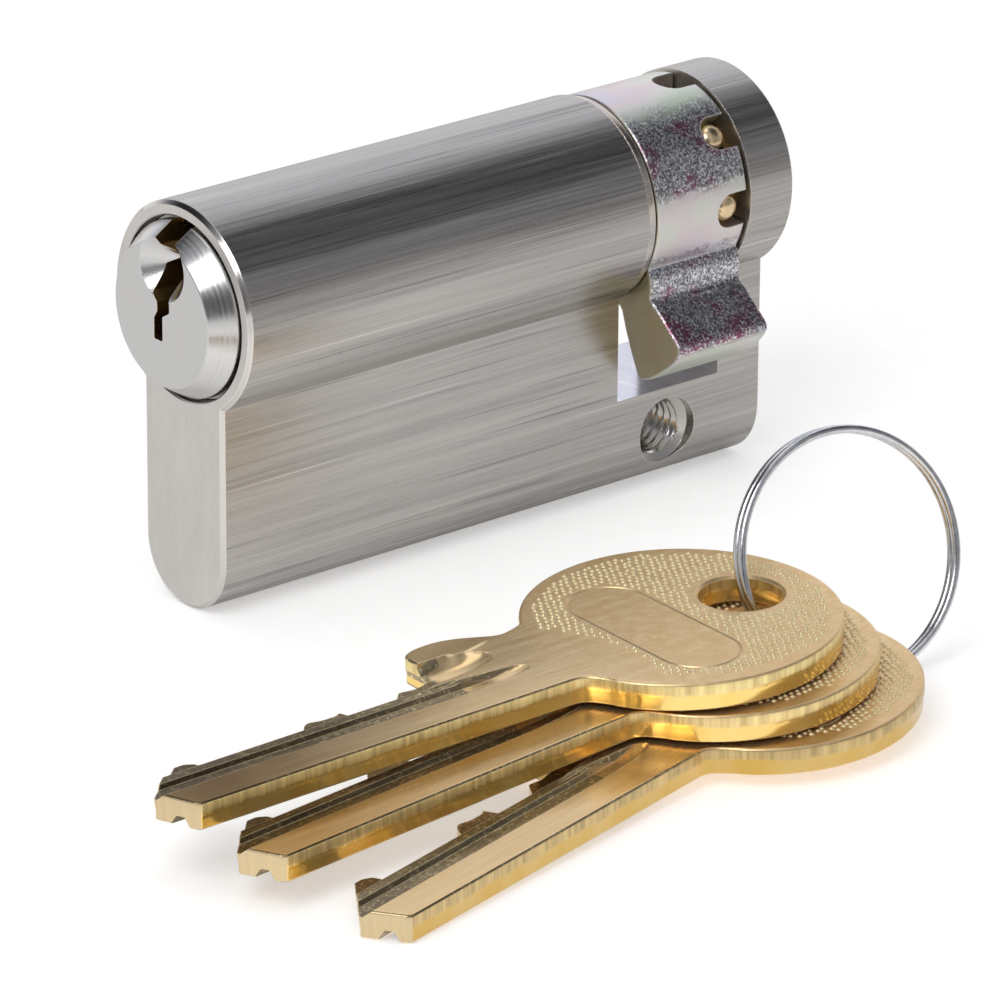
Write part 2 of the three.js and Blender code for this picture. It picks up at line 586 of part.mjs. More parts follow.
function keyGeometry() {
  const stop = bowPlace(NECK_FAR_SHARES[NECK_FAR_SHARES.length - 1]);
  const [tipU, tipV] = cutEdge[0];
  const outline = [
    [KEY_TIP_CORNER, 0], ...NECK_NEAR_SHARES.map(bowPlace),
    ...arc(BOW_CENTRE_ALONG, BOW_CENTRE_ACROSS, BOW_RADIUS, BOW_FIRST_ANGLE, BOW_LAST_ANGLE, BOW_STEPS),
    ...NECK_FAR_SHARES.map(bowPlace), [stop[0], BLADE_HEIGHT], [tipU, tipV],
    [-KEY_TIP_REACH, KEY_TIP_HEIGHT], [0, KEY_TIP_CORNER],
  ];
  const plate = new THREE.ExtrudeGeometry(shapeOf(outline), {
    depth: KEY_THICKNESS - 2 * KEY_EDGE,
    bevelEnabled: true,
    bevelThickness: KEY_EDGE,
    bevelSize: KEY_EDGE,
    bevelOffset: -KEY_EDGE,
    bevelSegments: 1,
  }).translate(0, 0, KEY_EDGE);
  const above = BLADE_HEIGHT + CUT_OVERRUN;
  const lastU = cutEdge[cutEdge.length - 1][0];
  const cutting = new THREE.ExtrudeGeometry(
    shapeOf([...cutEdge, [lastU, above], [tipU, above]]),
    { depth: KEY_THICKNESS + 2 * CUT_OVERRUN, bevelEnabled: false },
  ).translate(0, 0, -CUT_OVERRUN);
  const hole = roundBar(KEY_HOLE_RADIUS, -CUT_OVERRUN, KEY_THICKNESS + CUT_OVERRUN, KEY_HOLE_STEPS);
  hole.rotateX(90 * RAD).translate(KEY_HOLE_ALONG, BOW_CENTRE_ACROSS, 0);
  const cuts = [
    solid(cutting), solid(hole), faceCut(UPPER_FACE_SHARES, 1), faceCut(UNDER_FACE_SHARES, 0),
  ];
  return geometryOf(cuts.reduce((body, cut) => body.subtract(cut), solid(plate)));
}

const keyShape = keyGeometry();
const keyStack = new THREE.Group();
keyStack.name = 'key_stack';
keyStack.position.set(STACK_ACROSS, -STACK_BEFORE_FRONT, webBottom + STACK_LIFT);
const stackAxis = new THREE.Vector3(Math.cos(STACK_HEADING * RAD), Math.sin(STACK_HEADING * RAD), 0);
keyStack.quaternion.setFromAxisAngle(stackAxis, STACK_TILT * RAD);
KEY_POSES.forEach(({ name, layer, placeShares, yaw }) => {
  const key = addPiece(keyStack, name, keyShape.clone(), 'keyBrass');
  const [across, along] = placeShares.map((share) => share * BOW_RADIUS);
  key.position.set(across, along, layer * (KEY_THICKNESS + TOUCH_GAP));
  key.rotation.z = (90 + yaw) * RAD;
});
lock.add(keyStack);

// Split ring
const ringCoil = new Coil(RING_RADIUS, RING_PITCH * RING_TURNS, RING_TURNS);
const ringShape = wound('split_ring', ringCoil, RING_WIRE, RING_STEPS, RING_SIDES);
const ringGroup = new THREE.Group();
ringGroup.name = 'ring_place';
ringGroup.position.set(RING_ACROSS, RING_BEHIND_FRONT, webBottom + RING_CENTRE_HEIGHT);
const ringAxis = new THREE.Vector3(
  Math.cos(RING_HEADING * RAD) * Math.cos(RING_RISE * RAD),
  Math.sin(RING_HEADING * RAD) * Math.cos(RING_RISE * RAD),
  Math.sin(RING_RISE * RAD),
);
ringGroup.quaternion.setFromUnitVectors(new THREE.Vector3(0, 0, 1), ringAxis);
const splitRing = addPiece(ringGroup, 'split_ring', geometryOf(solid(ringShape)), 'ring');
splitRing.rotation.z = RING_SPIN * RAD;
lock.add(ringGroup);

lock.position.set(0, -FRONT_LENGTH, HOLE_DROP);
lock.updateMatrixWorld(true);

export default lock;
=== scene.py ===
"""Looks of a euro-profile half cylinder and its three keys on a split ring.

Lengths are metres, and angles are degrees until a function turns them into radians. Lengths of the
object are written as millimetres times MM, in the barrel's own frame: Y along the barrel's axis with the
front plane at zero, Z up from the web to the barrel. ORIGIN moves that frame to the part's, whose origin
is the centre of the fixing screw's hole. A key's own frame has X along the key from the blade's tip, Y
across it from the back edge, and Z up through its thickness.
"""
import math

import bmesh
import bpy
import numpy as np
from mathutils import Matrix, Vector


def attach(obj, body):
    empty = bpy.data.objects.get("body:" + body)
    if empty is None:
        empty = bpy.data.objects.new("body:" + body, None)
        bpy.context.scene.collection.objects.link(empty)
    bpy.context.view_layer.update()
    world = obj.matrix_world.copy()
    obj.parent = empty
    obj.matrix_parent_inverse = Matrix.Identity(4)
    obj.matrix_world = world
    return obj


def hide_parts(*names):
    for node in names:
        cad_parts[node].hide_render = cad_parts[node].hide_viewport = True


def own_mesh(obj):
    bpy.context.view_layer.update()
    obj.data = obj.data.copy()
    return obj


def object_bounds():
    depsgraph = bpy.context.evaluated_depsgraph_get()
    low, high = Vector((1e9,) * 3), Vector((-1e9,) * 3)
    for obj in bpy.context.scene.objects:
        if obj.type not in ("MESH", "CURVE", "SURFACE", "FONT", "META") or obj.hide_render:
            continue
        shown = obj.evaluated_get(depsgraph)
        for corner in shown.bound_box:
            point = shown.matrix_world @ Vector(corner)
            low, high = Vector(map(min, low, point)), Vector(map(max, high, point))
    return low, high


bl_info = {
    "name": "Euro cylinder with keys",
    "version": (1, 0, 0),
    "blender": (4, 5, 0),
    "location": "3D View > Sidebar > Cylinder",
    "description": "Detailed surfaces and finishes for a euro half cylinder, its keys and their ring",
    "category": "Add Mesh",
}

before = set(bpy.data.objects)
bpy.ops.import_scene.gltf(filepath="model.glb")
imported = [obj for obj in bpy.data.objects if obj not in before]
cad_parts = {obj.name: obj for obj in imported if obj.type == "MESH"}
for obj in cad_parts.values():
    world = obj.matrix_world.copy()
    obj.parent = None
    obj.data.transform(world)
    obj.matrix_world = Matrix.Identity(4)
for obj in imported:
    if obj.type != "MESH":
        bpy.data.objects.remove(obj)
CAD_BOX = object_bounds()

MM = 0.001
TURN = 2.0 * math.pi
SMOOTH_BELOW = math.radians(31.0)

# Sides of the round surfaces
BARREL_SIDES = 160
DRUM_SIDES = 128
BORE_SIDES = 96
KEY_HOLE_SIDES = 72
PIN_SIDES = 48
# Points of the profile's two arcs
BARREL_ARC_STEPS = 150
WEB_ARC_STEPS = 60

# Clearances, as in the solids
TOUCH_GAP = 0.3 * MM
RUN_GAP = 0.15 * MM
OVERRUN = 1.2 * MM

# Housing
BARREL_RADIUS = 8.5 * MM
PROFILE_HEIGHT = 33.0 * MM
WEB_HALF = 4.9 * MM
HOUSING_LENGTH = 55.0 * MM
MIDDLE = 45.0 * MM
HOLE_DROP = 19.45 * MM
ORIGIN = np.array([0.0, -MIDDLE, HOLE_DROP])
SLOT_HALF = 5.3 * MM
SLOT_FLOOR = -15.72 * MM
BORE_RADIUS = 6.5 * MM
COUNTERBORE_RADIUS = 7.35 * MM
COUNTERBORE_DEPTH = 1.4 * MM
MOUTH_CHAMFER = 0.12 * MM
TAIL_BORE_RADIUS = 4.05 * MM
TAIL_BORE_DEPTH = 3.2 * MM
THREAD_MAJOR = 2.5 * MM
THREAD_MINOR = 2.08 * MM
THREAD_PITCH = 0.8 * MM
THREAD_FLATS = (0.12, 0.94)
THREAD_ROWS = 10
THREAD_SIDES = 56
SCREW_MOUTH_RADIUS = 2.85 * MM
SCREW_MOUTH_DEPTH = 0.9 * MM
WEB_BOTTOM = BARREL_RADIUS - PROFILE_HEIGHT

# Pin chambers
CHAMBERS = (4.35 + 3.9 * np.arange(5)) * MM
CHAMBER_RADIUS = 1.5 * MM
CHAMBER_TOP = 2.3 * MM
STOPPER_LENGTH = 1.9 * MM
PIN_RADIUS = CHAMBER_RADIUS - RUN_GAP
PIN_FOOT = -6.15 * MM
PIN_TIP_RADIUS = 0.45 * MM
PIN_TIP_LENGTH = 0.9 * MM
DRIVER_TOP = -6.6 * MM
DRIVER_LENGTH = 5.0 * MM
SPRING_WIRE = 0.4 * MM
SPRING_RADIUS = 1.0 * MM
SPRING_CURLS = 6
SPRING_STEPS = 40
SPRING_SIDES = 12

# Plug and drive
PLUG_RADIUS = BORE_RADIUS - RUN_GAP
PLUG_LENGTH = 29.6 * MM
FACE_OUT = 2.0 * MM
FACE_RADIUS = 5.75 * MM
HEAD_RADIUS = COUNTERBORE_RADIUS - TOUCH_GAP
HEAD_DEPTH = COUNTERBORE_DEPTH - TOUCH_GAP
DISH_RADIUS = 2.75 * MM
DISH_HEIGHT = 3.9 * MM
DISH_OFFSET = 0.2 * MM
TONGUE_HALF = 1.5 * MM
TONGUE_LENGTH = 2.0 * MM
TONGUE_HALF_WIDTH = 5.0 * MM
CORE_SEAT_RADIUS = 5.95 * MM
CLIP_GROOVE_RADIUS = 5.45 * MM
CORE_TAIL_RADIUS = TAIL_BORE_RADIUS - RUN_GAP
SLOT_GAP = 0.2 * MM
CLIP_THICKNESS = 0.65 * MM
CLIP_INNER_RADIUS = 5.7 * MM
CLIP_MOUTH = math.radians(24.0)
CLIP_STEPS = 150
CAM_RADIUS = 8.3 * MM
CAM_BORE_RADIUS = CORE_SEAT_RADIUS + SLOT_GAP
NOSE_RADIUS = 15.3 * MM
NOTCHES = 8
NOTCH_PHASE = -4.0
NOTCH_RADIUS = 1.45 * MM
NOTCH_PLACE = MIDDLE + 3.5 * MM
NOTCH_REACH = 8.7 * MM
DETENT_RADIUS = 1.12 * MM
DETENT_HOLE_FLOOR = 3.6 * MM
DETENT_FOOT = 5.0 * MM
DETENT_TOP = 8.1 * MM
DETENT_DOME = 0.75 * MM
# Cam nose: corners as (share of its radius, degrees, reach of the rounding in millimetres)
NOSE_CORNERS = np.array([
    [0.5, -28, 0], [0.555, -30, 0.4], [0.608, -34, 0.6], [0.657, -41.7, 0.5], [0.714, -40.9, 0.4],
    [0.808, -40.9, 0.5], [0.985, -40.8, 0.9], [1.0, -47, 0.4], [1.0, -52, 0.4], [1.0, -57, 0.4],
    [1.0, -61, 0.4], [0.985, -66.0, 0.6], [0.846, -66.3, 0.4], [0.712, -66.1, 0.4], [0.6, -65, 0.3],
    [0.54, -70, 0.3], [0.5, -74, 0]])
# Where the cam's plate sparkles, by its height between two levels: one where it does, zero on smooth film
CAM_BAND_LEVELS = (8 * MM, 28 * MM)
CAM_BANDS = [(0.0, (1, 1, 1)), (0.43, (1, 1, 1)), (0.47, (0, 0, 0)), (0.68, (0, 0, 0)), (0.725, (1, 1, 1)),
             (0.95, (1, 1, 1)), (1.0, (0, 0, 0))]
SLOT_FRONT = MIDDLE - SLOT_HALF
SLOT_REAR = MIDDLE + SLOT_HALF
CLIP_FRONT = SLOT_FRONT + SLOT_GAP
CLIP_REAR = CLIP_FRONT + CLIP_THICKNESS
CAM_FRONT = CLIP_REAR + SLOT_GAP
CAM_REAR = SLOT_REAR - SLOT_GAP

# Key section: shares of the blade's height and of the thickness; cut edge: shares of its length too
KEY_THICKNESS = 2.2 * MM
BLADE_HEIGHT = 8.0 * MM
BLADE_LENGTH = 27.55 * MM
KEY_PLAY = 0.1 * MM
KEY_BACK_HEIGHT = 6.0 * MM
KEY_UNDERSIDE = -1.0 * MM
UPPER_FACE = np.array([[0, 1], [0.34, 1], [0.42, 0.75], [0.56, 0.75], [0.6, 0.895], [0.7, 0.895],
                       [0.763, 0.5], [1, 0.5]])
UNDER_FACE = np.array([[0, 0], [0.1, 0], [0.16, 0.36], [0.24, 0.36], [0.3, 0], [0.55, 0],
                       [0.635, 0.295], [0.725, 0.295], [0.8, 0.114], [1, 0.114]])
CUT_EDGE = np.array([[0.128, 0.99], [0.16, 0.985], [0.184, 0.93], [0.195, 0.756], [0.288, 0.72],
                     [0.367, 0.74], [0.392, 0.795], [0.414, 0.762], [0.496, 0.762], [0.541, 0.955],
                     [0.56, 0.99], [0.6, 0.95], [0.645, 0.95], [0.662, 0.985], [0.684, 0.74],
                     [0.783, 0.729], [0.821, 0.85], [0.858, 0.985], [0.905, 0.955], [0.955, 0.99]])
TIP_REACH = 1.27 * MM
TIP_HEIGHT = 3.58 * MM
TIP_CORNER = 0.35 * MM
# Key bow: a round plate over an arc, fuller by the swell's share where the arc starts, which fades over the
# swell's own arc. The neck's corners are shares of the bow's radius, from its centre
BOW_RADIUS = 12.1 * MM
BOW_CENTRE = np.array([47.1, 4.0]) * MM
BOW_ARC = (-150.0, 149.0)
BOW_STEPS = 166
BOW_SWELL = 0.068
BOW_SWELL_ARC = 85.0
NECK_NEAR = np.array([[-1.04, -0.345], [-0.955, -0.465]])
NECK_FAR = np.array([[-0.945, 0.48], [-1.063, 0.456], [-1.31, 0.592], [-1.438, 0.628],
                     [-1.603, 0.624], [-1.715, 0.576]])
KEY_HOLE = np.array([52.8, 4.0]) * MM
KEY_HOLE_RADIUS = 3.2 * MM
GROOVE_END = 32.6 * MM
GROOVE_CUTTER_RADIUS = 11.0 * MM
GROOVE_STRETCH = 12 * MM
GROOVE_STEPS = 90
# The two grooves of each face: middle and half width as shares of the blade's height, depth as a share of
# the thickness, and where the groove ends along the key in millimetres
UPPER_TRACKS = np.array([[0.48, 0.14, 0.25, 32.6], [0.9, 0.22, 0.5, 31.8]])
UNDER_TRACKS = np.array([[0.2, 0.1, 0.36, 32.6], [0.78, 0.24, 0.295, 31.8]])
LEAF_LENGTH = 4.4 * MM
# Wall of the blanked key: how far its lower edge lies in, then (inset, height) of its undercut up to the
# parting height
WALL_INSET = 0.06 * MM
PARTING_HEIGHT = 1.25 * MM
UNDERCUT = [(0.07 * MM, 0.25 * MM), (0.09 * MM, 0.78 * MM), (0.0, PARTING_HEIGHT)]
KEY_HOLE_CHAMFER = 0.22 * MM
# Dots of the bow: rows and random moves as shares of the pitch, the smooth rims that they keep clear of,
# and the smooth place at the neck: its middle, from the bow's centre, and its reach
DOT_ROW_SHARE = 0.866
DOT_JITTER = 0.13
DOT_SEED = 7
BOW_RIM = 1.0 * MM
HOLE_RIM = 0.75 * MM
PLATE_RIM = 0.35 * MM
NECK_CLEAR_PLACE = np.array([-14.6, -3.2]) * MM
NECK_CLEAR_RADIUS = 7.4 * MM
# Finish along a key: how far the painted dark reflection on its blade reaches, and over which stretch
# the bow's matt face comes in
BLADE_SHADE_REACH = 40 * MM
MATT_FROM, MATT_FULL = 34 * MM, 40 * MM
# Colour of the painted dark reflection over each key's blade, and the painted shade that dims each key's
# walls and tip end
KEY_BLADE_SHADES = [(0.25, 0.20, 0.12), (0.65, 0.50, 0.26), (1.0, 0.97, 0.92)]
KEY_WALL_PAINTED_SHADE = [1.0, 0.95, 0.62]
PLATE_CENTRE = np.array([43.9, 3.4]) * MM
PLATE_HALF = np.array([3.15, 8.4]) * MM

# Key places in the leaning stack: layer, X and Y in millimetres, and yaw
KEY_PLACES = {
    "key_1": (2, -13.45, -7.15, -1.84),
    "key_2": (1, -6.93, -4.63, 3.94),
    "key_3": (0, 2.29, -0.78, 12.45),
}
STACK_PLACE = np.array([56.0, -24.0, -24.4]) * MM
STACK_TILT = 1.6
STACK_HEADING = 8.0

# Ring: its middle, its wire, how far one turn rises, where its axis points and where its wire starts
RING_PLACE = np.array([41.2, 31.38, -15.0]) * MM
RING_RADIUS = 9.46 * MM
RING_WIRE = 0.66 * MM
RING_PITCH = 0.69 * MM
RING_TURNS = 1.94
RING_HEADING = -10.1
RING_RISE = 19.9
RING_SPIN = 300.0
RING_STEPS = 120
RING_SIDES = 20

# Camera, solved from the barrel's ends, the slot and the screw hole in the photograph
CAMERA_PLACE = np.array([413.827, -359.085, 213.65]) * MM
CAMERA_RIGHT = (0.63902, 0.76916, 0.00695)
CAMERA_DOWN = (0.29223, -0.2344, -0.92718)
CAMERA_FORWARD = (-0.71152, 0.59452, -0.37456)
CAMERA_LENS = 262.23

# Floor: half its side, its level just under the object, and the glow that only polished metal sees: its
# middle and the distances between which it fades
FLOOR_HALF = 1.6
FLOOR_STEPS = 8
FLOOR_LEVEL = CAD_BOX[0][2] - 0.02 * MM
GLOW_PLACE = (0.065, -0.050, FLOOR_LEVEL)
GLOW_INNER, GLOW_OUTER = 25 * MM, 70 * MM

# Lamps: name, place, width and power in watts
LAMPS = (("key_light", (0.21, -0.45, 0.495), 0.42, 1.5), ("top_light", (-0.1, -0.05, 1.0), 0.5, 0.5))

# The room that metal mirrors: azimuth and height of its bright side, and how bright it is away from there
# and there. Each of its dark stretches: azimuth, height, the angles within which it is darkest and at which
# it ends, and what is left there. ROOM_PLAIN is what matt surfaces get from all sides, and ROOM_COOL the
# tint of the top
ROOM_BRIGHT = (165, 5)
ROOM_LEVELS = (0.45, 0.92)
ROOM_SHADES = ((66, 52, 5, 36, 0.10), (32, 12, 10, 42, 0.60), (-150, 44, 10, 46, 0.03),
               (-40, 15, 8, 30, 0.25))
ROOM_PLAIN = 0.55
ROOM_COOL = (0.95, 0.975, 1.06)


# Shapes

def circle(radius, steps, first=0.0, last=360.0, closed=True):
    """Points (radius cos t, radius sin t) at even angles t in degrees, without the last one where closed."""
    angle = np.radians(np.linspace(first, last, steps, endpoint=not closed))
    return radius * np.stack([np.cos(angle), np.sin(angle)], axis=1)


def softened(corners, steps=5):
    """An outline of (x, y, reach) corners, each one with a reach swapped for a parabola: at share s it is
    (1-s)^2 start + 2 s (1-s) corner + s^2 end, where start and end lie reach away along the two sides, or
    nearly half a side where the side is short."""
    corners = np.asarray(corners, float)
    place, reach = corners[:, :2], corners[:, 2:]
    back = np.roll(place, 1, axis=0) - place
    ahead = np.roll(place, -1, axis=0) - place
    before = np.linalg.norm(back, axis=1, keepdims=True).clip(1e-9)
    after = np.linalg.norm(ahead, axis=1, keepdims=True).clip(1e-9)
    start = place + back / before * np.minimum(reach, 0.48 * before)
    end = place + ahead / after * np.minimum(reach, 0.48 * after)
    share = np.linspace(0.0, 1.0, steps)[None, :, None]
    arcs = ((1 - share) ** 2 * start[:, None] + 2 * share * (1 - share) * place[:, None]
            + share ** 2 * end[:, None]).reshape(-1, 2)
    apart = np.linalg.norm(np.diff(arcs, axis=0, append=arcs[:1]), axis=1) > 1e-7
    return arcs[apart]


def inset(outline, distance):
    """The outline moved inwards: each point goes along the sum of its two sides' inward normals, scaled
    so that both sides move by the distance. Outlines run counter-clockwise."""
    side = np.diff(outline, axis=0, append=outline[:1])
    side /= np.linalg.norm(side, axis=1, keepdims=True)
    inward = np.stack([-side[:, 1], side[:, 0]], axis=1)
    before = np.roll(inward, 1, axis=0)
    both = inward + before
    scale = 1.0 + np.sum(inward * before, axis=1, keepdims=True)
    return outline + distance * both / scale.clip(0.35)


def counter_clockwise(outline):
    """The outline, reversed where its signed area, half the sum of x dy - y dx, is negative."""
    x, y = outline.T
    area = np.sum(x * np.roll(y, -1) - y * np.roll(x, -1))
    return outline if area > 0 else outline[::-1]


def edge_rings(low, high, reach, rise, steps):
    """Pairs (inset, height) for a plate from low to high whose edges follow a quarter ellipse: at angle t
    the inset is reach (1 - cos t) and the height is rise (1 - sin t) from the face."""
    angle = np.linspace(math.pi / 2, 0.0, steps)
    quarter = np.stack([reach * (1 - np.cos(angle)), rise * (1 - np.sin(angle))], axis=1)
    bottom = quarter + [0, low]
    top = (quarter * [1, -1] + [0, high])[::-1]
    return np.concatenate([bottom, top])


def closed_piece(name, grid, capped):
    """A closed mesh from rows of closed rings of points: four-sided faces between neighbouring rings, and
    one flat face on the first and on the last ring where capped."""
    rows, columns = grid.shape[:2]
    first = np.arange(rows - 1)[:, None] * columns
    here = np.arange(columns)[None, :]
    ahead = (here + 1) % columns
    corners = [first + here, first + ahead, first + columns + ahead, first + columns + here]
    faces = np.stack(corners, axis=-1).reshape(-1, 4).tolist()
    if capped:
        faces.append(list(range(columns))[::-1])
        faces.append(list(range((rows - 1) * columns, rows * columns)))
    mesh = bpy.data.meshes.new(name)
    mesh.from_pydata((grid.reshape(-1, 3) + ORIGIN).tolist(), [], faces)
    work = bmesh.new()
    work.from_mesh(mesh)
    bmesh.ops.remove_doubles(work, verts=work.verts, dist=2e-7)
    bmesh.ops.triangulate(work, faces=[face for face in work.faces if len(face.verts) > 4])
    bmesh.ops.recalc_face_normals(work, faces=work.faces)
    if work.calc_volume(signed=True) < 0:
        bmesh.ops.reverse_faces(work, faces=work.faces)
    work.to_mesh(mesh)
    work.free()
    piece = bpy.data.objects.new(name, mesh)
    bpy.context.scene.collection.objects.link(piece)
    return piece


def along_y(name, outline, rings):
    """A plate standing on Y: ring k is the outline (x, z) moved in by its inset at its height y."""
    outline = counter_clockwise(outline)
    grid = np.stack([np.insert(inset(outline, depth), 1, height, axis=1) for depth, height in rings])
    return closed_piece(name, grid, capped=True)


def turned(name, profile, steps, axis="Y", centre=(0.0, 0.0, 0.0)):
    """A surface of revolution: the profile's point (r, a) at angle t lies at r cos t and r sin t across the
    axis and at a along it."""
    profile = np.asarray(profile, float)
    angle = np.linspace(0.0, TURN, steps, endpoint=False)
    across = profile[:, :1] * np.cos(angle)
    over = profile[:, :1] * np.sin(angle)
    along = np.repeat(profile[:, 1:2], steps, axis=1)
    order = {"X": (along, across, over), "Y": (across, along, over), "Z": (across, over, along)}[axis]
    return closed_piece(name, np.stack(order, axis=-1) + np.asarray(centre), capped=False)


def radial_bar(name, profile, angle, along, steps):
    """A surface of revolution whose axis points out of the barrel's axis at an angle, at a place along Y:
    the profile's point (r, a) goes a outwards, r cos t along Y and r sin t sideways."""
    profile = np.asarray(profile, float)
    turn = np.linspace(0.0, TURN, steps, endpoint=False)
    out = np.array([math.cos(angle), 0.0, math.sin(angle)])
    side = np.array([-math.sin(angle), 0.0, math.cos(angle)])
    grid = (profile[:, 1, None, None] * out
            + (profile[:, :1] * np.cos(turn))[..., None] * np.array([0.0, 1.0, 0.0])
            + (profile[:, :1] * np.sin(turn))[..., None] * side
            + np.array([0.0, along, 0.0]))
    return closed_piece(name, grid, capped=False)


def wound_wire(name, path, wire, sides):
    """A round wire along a path of points: at each point a circle square to the path's tangent, laid out
    on the direction away from the path's middle and the one square to both; its ends shrink to points."""
    tangent = np.gradient(path, axis=0)
    tangent /= np.linalg.norm(tangent, axis=1, keepdims=True)
    centre = path.mean(axis=0)
    out = path - centre
    out -= np.sum(out * tangent, axis=1, keepdims=True) * tangent
    out /= np.linalg.norm(out, axis=1, keepdims=True)
    up = np.cross(tangent, out)
    ring = circle(wire / 2, sides)
    tube = path[:, None] + ring[None, :, :1] * out[:, None] + ring[None, :, 1:] * up[:, None]
    ends = np.linspace(0.0, 1.0, 4)[:, None, None]
    close = np.sqrt(1 - (1 - ends) ** 2)
    start = path[0] - tangent[0] * wire * 0.25 * (1 - ends) + (tube[0] - path[0])[None] * close
    finish = path[-1] + tangent[-1] * wire * 0.25 * (1 - ends) + (tube[-1] - path[-1])[None] * close
    return closed_piece(name, np.concatenate([start[:-1], tube, finish[:-1][::-1]]), capped=False)


def shaped(piece, cuts=(), joins=()):
    """The piece with the joins added and the cuts taken away. Its mesh is the result of the Booleans."""
    for operation, tools in (("UNION", joins), ("DIFFERENCE", cuts)):
        for tool in tools:
            step = piece.modifiers.new("shape", "BOOLEAN")
            step.object = tool
            step.operation = operation
            step.solver = "MANIFOLD"
    result = bpy.data.meshes.new_from_object(piece.evaluated_get(bpy.context.evaluated_depsgraph_get()))
    if len(result.polygons) == 0:
        raise RuntimeError(f"the shape of {piece.name} came out empty")
    old = piece.data
    piece.modifiers.clear()
    piece.data = result
    bpy.data.meshes.remove(old)
    for tool in (*joins, *cuts):
        mesh = tool.data
        bpy.data.objects.remove(tool)
        bpy.data.meshes.remove(mesh)
    return piece


def face_table(mesh):
    """Each face's middle in the barrel's frame and its normal, as two arrays."""
    middle = np.empty(len(mesh.polygons) * 3)
    normal = np.empty(len(mesh.polygons) * 3)
    mesh.polygons.foreach_get("center", middle)
    mesh.polygons.foreach_get("normal", normal)
    return middle.reshape(-1, 3) - ORIGIN, normal.reshape(-1, 3)


def finish_piece(piece, body, nodes, materials, choice=None):
    """Gives a piece its materials, smooth shading with sharp edges, its body and the CAD nodes
    that it stands for. choice is an array with the material's number for each face."""
    mesh = piece.data
    mesh.materials.clear()
    for material in materials:
        mesh.materials.append(material)
    numbers = np.zeros(len(mesh.polygons), dtype=np.int32) if choice is None else choice.astype(np.int32)
    mesh.polygons.foreach_set("material_index", numbers)
    mesh.shade_smooth()
    mesh.set_sharp_from_angle(angle=SMOOTH_BELOW)
    even = piece.modifiers.new("even_shading", "WEIGHTED_NORMAL")
    even.keep_sharp = True
    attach(piece, body)
    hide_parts(*nodes)
    return piece


# Finishes

class Wiring:
    """A node tree while it is wired. Most methods give the socket that the next one reads."""

    def __init__(self, tree):
        self.tree = tree

    def put(self, kind, inputs=None, **settings):
        """A new node with its settings, its inputs joined to sockets or set to values."""
        node = self.tree.nodes.new(kind)
        for key, value in settings.items():
            setattr(node, key, value)
        for key, value in (inputs or {}).items():
            self.feed(node, key, value)
        return node

    def feed(self, node, key, value):
        """Joins a node's input to a socket, or sets it to a value."""
        if isinstance(value, bpy.types.NodeSocket):
            self.tree.links.new(value, node.inputs[key])
        else:
            node.inputs[key].default_value = value

    def span(self, value, low, high, start=0.0, end=1.0, kind="LINEAR"):
        """The value's range start to end spread over low to high."""
        inputs = {"Value": value, "From Min": start, "From Max": end, "To Min": low, "To Max": high}
        return self.put("ShaderNodeMapRange", inputs, interpolation_type=kind).outputs["Result"]

    def ramp(self, value, stops):
        """The colour at a value between stops of (place, colour)."""
        node = self.put("ShaderNodeValToRGB", {"Fac": value})
        band = node.color_ramp
        while len(band.elements) < len(stops):
            band.elements.new(0.5)
        for element, (place, colour) in zip(band.elements, stops):
            element.position = place
            element.color = (*colour, 1.0)
        return node.outputs["Color"]

    def blend(self, share, first, second, mode="MIX"):
        """Two colours mixed by a share, or the second laid over the first in another mode."""
        node = self.put("ShaderNodeMix", data_type="RGBA", blend_type=mode)
        self.feed(node, 0, share)
        for key, value in ((6, first), (7, second)):
            self.feed(node, key, value if isinstance(value, bpy.types.NodeSocket) else (*value, 1.0))
        return node.outputs[2]

    def maths(self, operation, first, second=0.0):
        """The result of one operation on one or two numbers."""
        node = self.put("ShaderNodeMath", operation=operation)
        self.feed(node, 0, first)
        self.feed(node, 1, second)
        return node.outputs[0]


class Finish(Wiring):
    """A material while it is wired, with what the finishes have in common."""

    def __init__(self, name, metallic=1.0):
        self.material = bpy.data.materials.new(name)
        self.material.use_nodes = True
        super().__init__(self.material.node_tree)
        self.shader = self.tree.nodes["Principled BSDF"]
        self.shader.inputs["Metallic"].default_value = metallic

    def place(self, scale, source="Object"):
        """The piece's own coordinates, stretched."""
        coordinates = self.put("ShaderNodeTexCoord").outputs[source]
        return self.put("ShaderNodeMapping", {"Vector": coordinates, "Scale": scale}).outputs["Vector"]

    def noise(self, vector, scale, detail=3.0, roughness=0.6):
        """Noise between zero and one, about one half on average."""
        inputs = {"Vector": vector, "Scale": scale, "Detail": detail, "Roughness": roughness}
        return self.put("ShaderNodeTexNoise", inputs).outputs["Fac"]

    def bumps(self, *layers, edge=0.07 * MM):
        """The surface's normal with small rounded edges and one bump on top of another: (height, depth)."""
        normal = self.put("ShaderNodeBevel", {"Radius": edge}, samples=4).outputs["Normal"]
        for height, depth in layers:
            inputs = {"Height": height, "Distance": depth, "Strength": 1.0, "Normal": normal}
            normal = self.put("ShaderNodeBump", inputs).outputs["Normal"]
        self.feed(self.shader, "Normal", normal)

    def edge_highlight_and_wear(self, radius=0.16 * MM):
        """One on the sharp edges, where edge wear and a painted highlight make the metal bright, and zero
        elsewhere: how far the rounded normal turns away from the face's own."""
        rounded = self.put("ShaderNodeBevel", {"Radius": radius}, samples=4).outputs["Normal"]
        flat = self.put("ShaderNodeNewGeometry").outputs["Normal"]
        alike = self.put("ShaderNodeVectorMath", {0: rounded, 1: flat}, operation="DOT_PRODUCT")
        return self.span(alike.outputs["Value"], 1.0, 0.0, 0.80, 0.99)

    def wear(self, colour, roughness):
        """Joins the colour and the roughness to the shader and gives the material."""
        self.feed(self.shader, "Base Color", colour)
        self.feed(self.shader, "Roughness", roughness)
        return self.material


